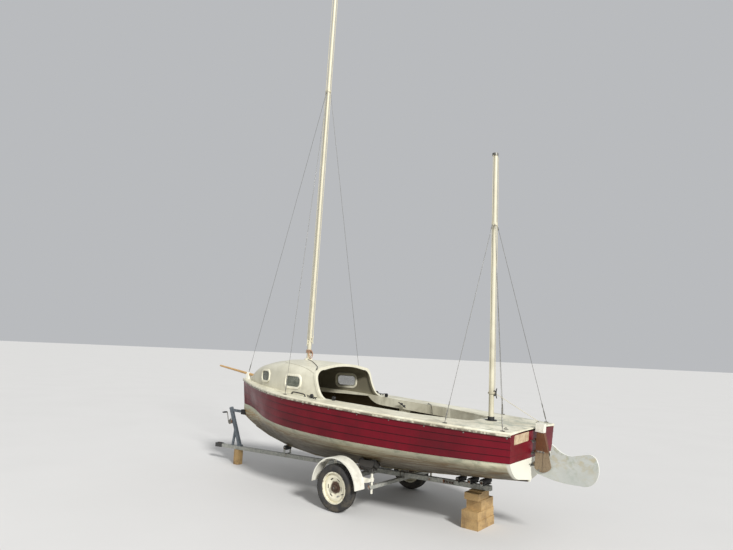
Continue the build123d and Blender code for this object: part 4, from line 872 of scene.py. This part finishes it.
def deck_gear():
    """Rails, cleats and blocks beside the cuddy, cleats under the side decks, eyes and the bow's cleat."""
    dark, bright = [], []
    for side in SIDES:
        dark += rail(side) + block(2.78, side * 0.73) + block(2.50, side * 0.60)
        for x, y, length in ((2.86, 0.705, 0.10), (2.70, 0.755, 0.11)):
            place, way = from_above("deck_moulding", boat(x, side * y))
            dark += cleat(place, (1.0, -0.25 * side, 0.04), way, length)
        place, way = seat("deck_moulding", boat(2.15, 0.0, 1.212), (0, side, 0))
        dark += cleat(place, (1.0, 0.0, 0.55), way, 0.14)
        place, way = from_above("deck_moulding", boat(0.13, side * 0.47))
        along = unit(np.cross(way, (0.3, 1.0, 0.2)))
        bright += [half_ring(place, along, way, 0.016, 0.00352, np.cross(along, way), over=0.25),
                   turned([(0.0272, -0.001), (0.0272, 0.002), (0.0192, 0.003)], place, way, 18)]
    place, way = from_above("deck_moulding", boat(4.715, 0.10))
    bright += cleat(place, (1.0, -0.3, 0.05), way, 0.15)
    add_piece("deck_fittings", dark, "black plastic")
    add_piece("deck_eyes", bright, "stainless")


def mast_line(node):
    """Foot and head of a mast's middle line, which leans aft."""
    low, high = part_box(node)
    return np.array((high.x - 0.034, 0.0, low.z)), np.array((low.x + 0.030, 0.0, high.z))


def mast_ropes(node, ropes, radius, count):
    """Straight ropes beside a mast: angle round it, distance, and the shares where each starts and ends."""
    foot, head = mast_line(node)
    lines = []
    for angle, off, low, high in ropes:
        shift = off * np.array((math.cos(angle), math.sin(angle), 0.0))
        lines.append(tube(between(foot, head, low, high, count) + shift, radius, lift=ACROSS))
    return lines


def main_mast_gear(size):
    """Halyards, tan turns and loops round the mast's foot, and its two cleats."""
    foot, head = mast_line("main_mast")
    add_piece("halyards", mast_ropes("main_mast", ((0.3, 0.046, 0.045, 0.997), (-2.6, 0.044, 0.045, 0.995),
                                                   (2.2, 0.046, 0.045, 0.690)), size / 2, 12), "rope white")
    low, high = between(foot, head, 0.0125, 0.0205, 2)
    wraps = [tube(helix(low, high, 0.046, 3.0), size * 0.55, lift=ACROSS)]
    t = np.linspace(0.0, 2.0 * math.pi, 24, endpoint=False)[:, None]
    for swell in (0.0, 0.014):
        loop = (foot + (head - foot) * 0.0185 + (-0.050 - swell, 0.018 + swell, 0.0)
                + np.sin(t) * (0.014, 0.020 + swell, 0.0) - (1 - np.cos(t)) * (0.0, 0.0, 0.045 + swell))
        wraps.append(tube(loop, size * 0.5, lift=(1, 0, 0), closed=True))
    add_piece("halyard_wraps", wraps, "rope tan")
    spot = foot + (head - foot) * 0.045
    add_piece("mast_cleats", cleat(spot + (-0.036, 0.0, 0.0), head - foot, (-1, 0, 0), 0.13)
              + cleat(spot + (0.0, 0.036, -0.04), head - foot, ACROSS, 0.11), "alloy spar")


def roof_line():
    """Rope led aft over the cuddy's roof between two small cleats."""
    route = ((3.545, 0.052), (3.42, 0.135), (3.26, 0.245), (3.10, 0.36), (2.97, 0.455), (2.885, 0.530),
             (2.85, 0.575))
    seats = [from_above("cuddy", boat(*step)) for step in smooth_path(route, 5)]
    path = np.array([place + way * 0.0042 for place, way in seats])
    add_piece("roof_line", [tube(path, 0.0042)], "rope dark")
    ends = []
    for index, length in ((0, 0.05), (-1, 0.07)):
        place, way = from_above("cuddy", path[index])
        ends += cleat(place, path[-1] - path[-6], way, length)
    add_piece("roof_cleats", ends, "black plastic")


def mizzen_gear(size):
    """Cleat and turns on the mizzen mast, ropes beside it, and the taut line to the starboard quarter."""
    foot, head = mast_line("mizzen_mast")
    at = foot + (head - foot) * 0.096
    add_piece("mizzen_cleat", cleat(at + (-0.034, 0.0, 0.0), head - foot, (-1, 0, 0), 0.12), "black plastic")
    lines = [tube(helix(at - (0, 0, 0.012), at + (0, 0, 0.014), 0.040, 3.0), size * 0.42, lift=ACROSS)]
    lines += mast_ropes("mizzen_mast", ((1.2, 0.042, 0.1, 0.99), (-2.2, 0.042, 0.1, 0.985)), size * 0.4, 8)
    quarter, way = from_above("deck_moulding", boat(0.13, -0.47))
    lines.append(tube(between(at + (-0.034, -0.02, 0.0), quarter + way * 0.020, count=6), size * 0.36))
    add_piece("mizzen_lines", lines, "rope white")


def terminals():
    """Swaged terminal on both ends of each shroud and mizzen stay, and a cap on each masthead."""
    shapes = []
    sleeve = [(0.0032, 0.0), (0.0055, 0.004), (0.0055, 0.055), (0.0032, 0.062)]
    for node, middle in (("main_shrouds", cad_box[0][0]), ("mizzen_stays", TRANSOM_X + 0.5)):
        for low, high in wire_ends(node, middle):
            way = unit(high - low)
            shapes += [turned(sleeve, place, way, 10) for place in (low + way * 0.004, high - way * 0.075)]
    for mast in ("main_mast", "mizzen_mast"):
        low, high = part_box(mast)
        cap = [(0.037, -0.030), (0.0385, -0.029), (0.0385, 0.0005), (0.034, 0.003)]
        shapes.append(turned(cap, (low.x + 0.034, 0.0, high.z - 0.004), (-0.022, 0.0, 1.0), 28))
    add_piece("wire_terminals", shapes, "stainless")


def rope_line(route):
    """NURBS spline through a frame of control points, read back as 120 evenly spaced points."""
    data = bpy.data.curves.new("rope line", "CURVE")
    data.dimensions = "3D"
    spline = data.splines.new("NURBS")
    spline.points.add(len(route) - 1)
    spline.points.foreach_set("co", np.column_stack([route, np.ones(len(route))]).ravel())
    spline.order_u, spline.resolution_u, spline.use_endpoint_u = 3, 16, True
    holder = bpy.data.objects.new("rope line", data)
    mesh = bpy.data.meshes.new_from_object(holder)
    line = points_of(mesh)
    bpy.data.objects.remove(holder)
    bpy.data.meshes.remove(mesh)
    along = np.concatenate([[0.0], np.cumsum(np.linalg.norm(np.diff(line, axis=0), axis=1))])
    even = np.linspace(0.0, along[-1], 120)
    return np.column_stack([np.interp(even, along, line[:, k]) for k in range(3)]), even


def sheet_tail():
    """Laid rope of three strands, each (cos a, sin a) about the line, from its eye to its knot."""
    diameter, lay_length, knot_size = 0.008, 0.034, 0.0042
    edge, _ = seat("deck_moulding", boat(1.64, 0.0, 1.200), (0, -1, 0))
    y = edge[1]
    z = from_above("deck_moulding", boat(1.65, y - 0.03))[0][2]
    pad, up = from_above("deck_moulding", boat(1.76, y - 0.080))
    start = pad + up * 0.013
    steps = ((1.735, -0.062, 0.012), (1.700, -0.030, 0.010), (1.672, -0.004, 0.013), (1.655, 0.012, -0.008),
             (1.646, 0.012, -0.060), (1.636, 0.010, -0.120), (1.622, 0.012, -0.180), (1.616, 0.014, -0.225))
    line, along = rope_line(np.array([start] + [boat(x, y + off, z + rise) for x, off, rise in steps]))
    foot = turned([(0.020, -0.001), (0.020, 0.002), (0.015, 0.003)], pad, up, 18)
    eye = half_ring(pad, np.array((0.5, -0.86, 0.0)), up, 0.013, 0.003, (0.86, 0.5, 0.0))
    add_piece("sheet_tail_eye", [eye, foot], "stainless")
    ahead = unit(np.gradient(line, axis=0))
    side = unit(np.cross(ahead, (0.31, 0.95, 0.05)))
    rise = np.cross(side, ahead)
    strands = []
    for k in range(3):
        a = (2.0 * math.pi * (along / lay_length + k / 3.0))[:, None]
        path = line + diameter * 0.235 * (np.cos(a) * side + np.sin(a) * rise)
        strands.append(tube(path, diameter * 0.265, lift=side))
    piece = add_piece("sheet_tail", strands, "rope dark")
    knot = overhand_knot(line[-1] - (0.0, 0.0, 1.9 * knot_size), knot_size)


def overhand_knot(place, size):
    """Overhand knot: the trefoil (sin t + 2 sin 2t, -1.3 sin 3t, cos t - 2 cos 2t)."""
    t = np.linspace(0.0, 2.0 * math.pi, 72, endpoint=False)
    path = place + size * np.column_stack([np.sin(t) + 2 * np.sin(2 * t), -1.3 * np.sin(3 * t),
                                           np.cos(t) - 2 * np.cos(2 * t)])
    return add_piece("sheet_tail_knot", [tube(path, 0.0038, lift=(0.1, 0.2, 1.0), closed=True)], "rope dark")


def rudder_straps():
    """Strap on each side of the stock, held by three bolts."""
    straps, bolts, length, aft = [], [], 0.092, unit(RUDDER_AFT)
    outline = rounded_rectangle(length, 0.016, 0.006, 5)
    for side in SIDES:
        start, way = from_side("rudder_stock", boat(-0.083, 0.0, 0.935), side)
        straps.append(plate(outline, 0.0025, start - way * 0.0005, aft, way))
        for share in (-0.38, 0.0, 0.38):
            bolts.append(bolt(start + way * 0.002 + aft * share * length, way, 0.0062, 10))
    add_piece("rudder_straps", straps, "dull steel", "rudder", bevel=0.0008)
    add_piece("rudder_bolts", bolts, "stainless", "rudder")


def head_ridges():
    """Six upright ridges on each side of the rudder's head, thinner towards their ends."""
    low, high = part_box("rudder_head")
    ridges = []
    for x in np.linspace(low.x + 0.014, high.x - 0.016, 6):
        for side in SIDES:
            top, way = from_side("rudder_head", (x, 0.0, high.z - 0.045), side)
            foot, _ = from_side("rudder_head", (x, 0.0, low.z + 0.012), side)
            ridges.append(tube(between(foot, top), 0.0042, lift=way, scale=(0.4, 0.85, 1, 1, 1, 0.85, 0.4)))
    add_piece("rudder_head_ridges", ridges, "white paint", "rudder")


def pivot_caps():
    """Cap on each end of the blade's pivot, and the bolts of the gudgeons on the transom."""
    cap = [(0.012, -0.001), (0.012, 0.003), (0.010, 0.006), (0.006, 0.0075)]
    caps = [turned(cap, *from_side("rudder_blade", BLADE_PIVOT, side), 6) for side in SIDES]
    add_piece("blade_pivot_caps", caps, "stainless", "blade")
    heads = []
    for node, z in (("hull_bottom", 0.79), ("hull_topsides", 1.05)):
        for y in (0.072, -0.072):
            heads.append(bolt(*seat(node, boat(-0.2, y, z), (1, 0, 0)), 0.006))
    add_piece("gudgeon_bolts", heads, "stainless")


def beam_gear():
    """Bars over the beam at the axle and the support bar, and a bolted plate on each side of the beam."""
    shapes, plates, heads = [], [], []
    for x in (2.298, 2.368, 1.712, 1.772):
        top, _ = from_above("trailer_beam", boat(x))
        shapes += u_bolt(top + (0.0, 0.0, 0.004), 0.076, 0.075)
    add_piece("beam_u_bolts", shapes, "rusty galvanised")
    outline = rounded_rectangle(0.16, 0.044, 0.006, 4)
    for x in (2.39, 1.06):
        top, _ = from_above("trailer_beam", boat(x))
        for side in SIDES:
            spot, way = from_side("trailer_beam", top - (0.0, 0.0, 0.0275), side)
            plates.append(plate(outline, 0.005, spot - way * 0.0005, BEAM_SLOPE, way))
            for off in (-0.055, -0.02, 0.02, 0.055):
                heads.append(bolt(spot + way * 0.0045 + (off, 0.0, 0.0), way, 0.0075))
    add_piece("beam_plates", plates, "rusty galvanised", bevel=0.0012)
    add_piece("beam_bolts", heads, "rusty steel")


def winch():
    """Drum of webbing between two cheeks on the post, its cranked handle and grip, and the stem's eye."""
    low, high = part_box("winch_post")
    place, way = seat("winch_post", (high.x + 0.3, 0.0, low.z + 0.40), (-1, 0, 0))
    axis = np.array(ACROSS)
    middle = place + way * 0.058
    cheek = [(-0.066, -0.045), (0.015, -0.034), (0.032, 0.0), (0.015, 0.034), (-0.066, 0.045)]
    crank = middle + [(0.0, 0.050, 0.0), (0.0, 0.056, 0.0), (0.03, 0.058, 0.10), (0.05, 0.058, 0.165)]
    shapes = [plate(cheek, 0.004, middle + axis * off, way, axis) for off in (-0.040, 0.036)]
    shapes += [turned([(0.010, -0.052), (0.010, 0.050)], middle, axis, 16),
               sweep(smooth_path(crank, 6), rounded_rectangle(0.018, 0.006, 0.002, 3), lift=axis),
               turned([(0.0025, 0.0), (0.005, 0.002), (0.005, 0.03)], crank[-1], axis, 10)]
    add_piece("winch_frame", shapes, "rusty galvanised", bevel=0.001)
    drum = [(0.014, -0.034), (0.027, -0.032), (0.028, 0.0), (0.027, 0.030), (0.014, 0.032)]
    add_piece("winch_drum", [turned(drum, middle, axis, 24)], "webbing")
    grip = [(0.010, 0.0), (0.013, 0.004), (0.014, 0.04), (0.012, 0.085), (0.008, 0.090)]
    add_piece("winch_grip", [turned(grip, crank[-1] + axis * 0.010, axis, 16)], "black plastic")
    stem, ahead = seat("hull_topsides", boat(5.6, 0.0, 0.945), (-1, 0, 0))
    eye = half_ring(stem, np.array((0.25, 0.0, 1.0)), ahead, 0.024, 0.005, ACROSS, 0.3, 0.15, 17, 10)
    add_piece("bow_eye", [eye], "stainless")


def clamps():
    """T-shaped knob and lock nut on each support rod's clamp."""
    knobs, nuts = [], []
    for side in SIDES:
        start, way = from_side("side_props", boat(1.742, 0.0, 0.345), side)
        end = start + way * 0.040
        bar = end + np.linspace(-0.032, 0.032, 9)[:, None] * (0.55, 0.0, 0.84)
        knobs += [tube(between(start - way * 0.002, end, count=4), 0.0055, 10),
                  tube(bar, 0.005, 10, lift=(0, side, 0))]
        nuts.append(turned([(0.014, 0.0), (0.014, 0.010), (0.011, 0.012)], start - way * 0.001, way, 6))
    add_piece("clamp_knobs", knobs, "rusty steel")
    add_piece("clamp_nuts", nuts, "rusty galvanised")


def roller_pins():
    """Nut on each end of each keel roller's pin, a little below the top of its bracket."""
    shapes = []
    places = points_of(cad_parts["roller_brackets"].data)
    for x in ROLLERS:
        at = boat(x)
        top = places[np.abs(places[:, 0] - at[0]) < 0.05, 2].max()
        for side in SIDES:
            shapes.append(bolt(*from_side("roller_brackets", (at[0], 0.0, top - 0.022), side), 0.009))
    add_piece("roller_pin_nuts", shapes, "rusty steel")


# Stage

def photo_camera(scene):
    """Camera looking along d, with right r and up u turned by the roll."""
    view = scene.dinghy_camera
    c, s = math.cos(view.climb), math.sin(view.climb)
    d = np.array((c * math.cos(view.heading), c * math.sin(view.heading), s))
    r = np.array((math.sin(view.heading), -math.cos(view.heading), 0.0))
    u = np.cross(r, d)
    right = r * math.cos(view.roll) + u * math.sin(view.roll)
    up = -r * math.sin(view.roll) + u * math.cos(view.roll)
    data = bpy.data.cameras.new("photo camera")
    data.sensor_fit = "HORIZONTAL"
    data.lens = view.focal_share * data.sensor_width
    data.clip_end = 400.0
    camera = bpy.data.objects.new("photo camera", data)
    turn = Matrix((right, up, -d)).transposed().to_4x4()
    camera.matrix_world = Matrix.Translation(view.place) @ turn
    scene.collection.objects.link(camera)
    scene.camera = camera


def floor(scene):
    """Flat ring of ground that reaches the horizon."""
    rings = [circle(radius, 64) for radius in (300.0, 120.0, 40.0, 12.0, 4.0, 0.0)]
    grid = np.concatenate([rings, np.full((len(rings), 64, 1), -0.001)], axis=-1)
    points, faces = surface(grid, round_columns=True)
    mesh = bpy.data.meshes.new("floor")
    mesh.from_pydata(points.tolist(), [], faces)
    mesh.validate()
    g = Finish("floor", Roughness=0.9)
    tone = g.mix(g.noise(0.6, 3.0), (0.62, 0.61, 0.59, 1.0), (0.66, 0.65, 0.63, 1.0))
    g.feed(g.shader, Base_Color=tone)
    mesh.materials.append(finishes["floor"])
    ground = bpy.data.objects.new("floor", mesh)
    scene.collection.objects.link(ground)


def lights(scene):
    """Soft sun from astern and a little to port, a wide fill from the camera's side, and a pale sky."""
    world = bpy.data.worlds.new("pale sky")
    world.use_nodes = True
    sky = world.node_tree.nodes["Background"]
    sky.inputs["Color"].default_value = (0.90, 0.92, 0.95, 1.0)
    sky.inputs["Strength"].default_value = 0.54
    scene.world = world
    for name, kind, place, power, spread, size in (
            ("sun", "SUN", (-7.8, 3.6, 6.2), 4.0, "angle", math.radians(10.0)),
            ("fill", "AREA", (-2.0, 11.0, 5.0), 160.0, "size", 6.0)):
        data = bpy.data.lights.new(name, kind)
        data.energy = power
        setattr(data, spread, size)
        light = bpy.data.objects.new(name, data)
        turn = (Vector((0.0, 0.0, 1.0)) - Vector(place)).to_track_quat("-Z", "Y").to_matrix().to_4x4()
        light.matrix_world = Matrix.Translation(place) @ turn
        scene.collection.objects.link(light)
    scene.view_settings.view_transform = "Standard"


# Operators

class DINGHY_OT_stage(bpy.types.Operator):
    """Pale floor, soft lights and the photograph's camera"""
    bl_idname = "dinghy.stage"
    bl_label = "Stage"

    def execute(self, context):
        photo_camera(context.scene)
        floor(context.scene)
        lights(context.scene)
        return {"FINISHED"}


class DINGHY_OT_finishes(bpy.types.Operator):
    """Make every finish and lay it on the frame's nodes"""
    bl_idname = "dinghy.finishes"
    bl_label = "Finishes"

    def execute(self, context):
        paint = context.scene.dinghy_paint
        for make_group in (weathering_group, scuff_group, rust_group, grain_group, lands_group, facing_group,
                           grime_group):
            make_group()
        common_finishes()
        for make_finish in (liner, wheel_paint, stock, prop, blade, glass):
            make_finish()
        topsides(paint)
        bottom(paint)
        deck_cream("cream deck", paint.deck, (214, 208, 184), 1.0)
        deck_cream("surround cream", (236, 232, 212), (226, 221, 198), 0.2)
        # The cuddy's inboard faces get painted shade.
        deck_cream("cuddy cream", (216, 212, 192), (200, 196, 176), 0.55, inboard_shade=0.85)
        left = set(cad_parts)
        for finish, nodes in NODE_FINISHES.items():
            for node in nodes.split():
                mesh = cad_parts[node].data
                mesh.materials.clear()
                mesh.materials.append(finishes[finish])
                left.discard(node)
        if left:
            raise RuntimeError(f"nodes without a finish: {sorted(left)}")
        return {"FINISHED"}


class DINGHY_OT_sheet_tail(bpy.types.Operator):
    """Rope tail that hangs from an eye on the cockpit's starboard edge"""
    bl_idname = "dinghy.sheet_tail"
    bl_label = "Sheet tail"

    def execute(self, context):
        sheet_tail()
        return {"FINISHED"}


class DINGHY_OT_tyres(bpy.types.Operator):
    """Treaded tyres in place of the plain ones, with wheel bolts and valves"""
    bl_idname = "dinghy.tyres"
    bl_label = "Tyres and wheels"

    def execute(self, context):
        for side in ("port", "starboard"):
            tyre(context.scene.dinghy_sizes, side)
            wheel_bolts(side)
        return {"FINISHED"}


class DINGHY_OT_cuddy_trim(bpy.types.Operator):
    """Moulded surrounds of the cuddy's windows, outside and inside"""
    bl_idname = "dinghy.cuddy_trim"
    bl_label = "Cuddy trim"

    def execute(self, context):
        width = context.scene.dinghy_sizes.window_frame
        shapes = []
        for x, z, length, height in WINDOWS:
            for side in SIDES:
                shapes += [surround(x, z, length, height, 1.2 * side, width),
                           surround(x, z, length + 0.02, height + 0.02, -0.05 * side, width)]
        add_piece("window_surrounds", shapes, "surround cream")
        return {"FINISHED"}


class DINGHY_OT_hull_trim(bpy.types.Operator):
    """Fastenings under the gunwale, the blank plate on the transom and the knees under the side decks"""
    bl_idname = "dinghy.hull_trim"
    bl_label = "Hull trim"

    def execute(self, context):
        fastenings()
        name_plate()
        side_knees()
        return {"FINISHED"}


class DINGHY_OT_deck_gear(bpy.types.Operator):
    """Cleats, blocks, grab rails and eyes on the decks and the cockpit's edge"""
    bl_idname = "dinghy.deck_gear"
    bl_label = "Deck gear"

    def execute(self, context):
        deck_gear()
        return {"FINISHED"}


class DINGHY_OT_rigging(bpy.types.Operator):
    """Halyards, the turns at the masts' feet, the roof line, wire terminals, caps and the mizzen's line"""
    bl_idname = "dinghy.rigging"
    bl_label = "Running rigging"

    def execute(self, context):
        size = context.scene.dinghy_sizes.halyard
        main_mast_gear(size)
        roof_line()
        mizzen_gear(size)
        terminals()
        return {"FINISHED"}


class DINGHY_OT_rudder_gear(bpy.types.Operator):
    """Straps, bolts, ridges and pivot caps of the rudder, and the gudgeons' bolts"""
    bl_idname = "dinghy.rudder_gear"
    bl_label = "Rudder gear"

    def execute(self, context):
        rudder_straps()
        head_ridges()
        pivot_caps()
        return {"FINISHED"}


class DINGHY_OT_trailer_gear(bpy.types.Operator):
    """U-bolts, plates, winch, bow eye, clamp knobs and roller pins of the trailer"""
    bl_idname = "dinghy.trailer_gear"
    bl_label = "Trailer gear"

    def execute(self, context):
        beam_gear()
        winch()
        clamps()
        roller_pins()
        return {"FINISHED"}


class DINGHY_PT_panel(bpy.types.Panel):
    """Lists the dinghy's values and pieces in the sidebar"""
    bl_idname = "DINGHY_PT_panel"
    bl_label = "Dinghy"
    bl_space_type = "VIEW_3D"
    bl_region_type = "UI"
    bl_category = "Dinghy"

    def draw(self, context):
        for name in PROPERTIES:
            box = self.layout.box()
            group = getattr(context.scene, name)
            for key in group.bl_rna.properties.keys():
                if key not in ("rna_type", "name"):
                    box.prop(group, key)
        for operator in OPERATORS:
            self.layout.operator(operator.bl_idname)


PROPERTIES = {"dinghy_paint": DinghyPaint, "dinghy_sizes": DinghySizes, "dinghy_camera": DinghyCamera}
OPERATORS = (DINGHY_OT_stage, DINGHY_OT_finishes, DINGHY_OT_sheet_tail, DINGHY_OT_tyres,
             DINGHY_OT_cuddy_trim, DINGHY_OT_hull_trim, DINGHY_OT_deck_gear, DINGHY_OT_rigging,
             DINGHY_OT_rudder_gear, DINGHY_OT_trailer_gear)
CLASSES = (*PROPERTIES.values(), *OPERATORS, DINGHY_PT_panel)


def register():
    for cls in CLASSES:
        bpy.utils.register_class(cls)
    for name, group in PROPERTIES.items():
        setattr(bpy.types.Scene, name, PointerProperty(type=group))


def unregister():
    for name in PROPERTIES:
        delattr(bpy.types.Scene, name)
    for cls in reversed(CLASSES):
        bpy.utils.unregister_class(cls)


def main():
    register()
    for operator in OPERATORS:
        group, name = operator.bl_idname.split(".")
        getattr(getattr(bpy.ops, group), name)()


if __name__ == "__main__":
    main()
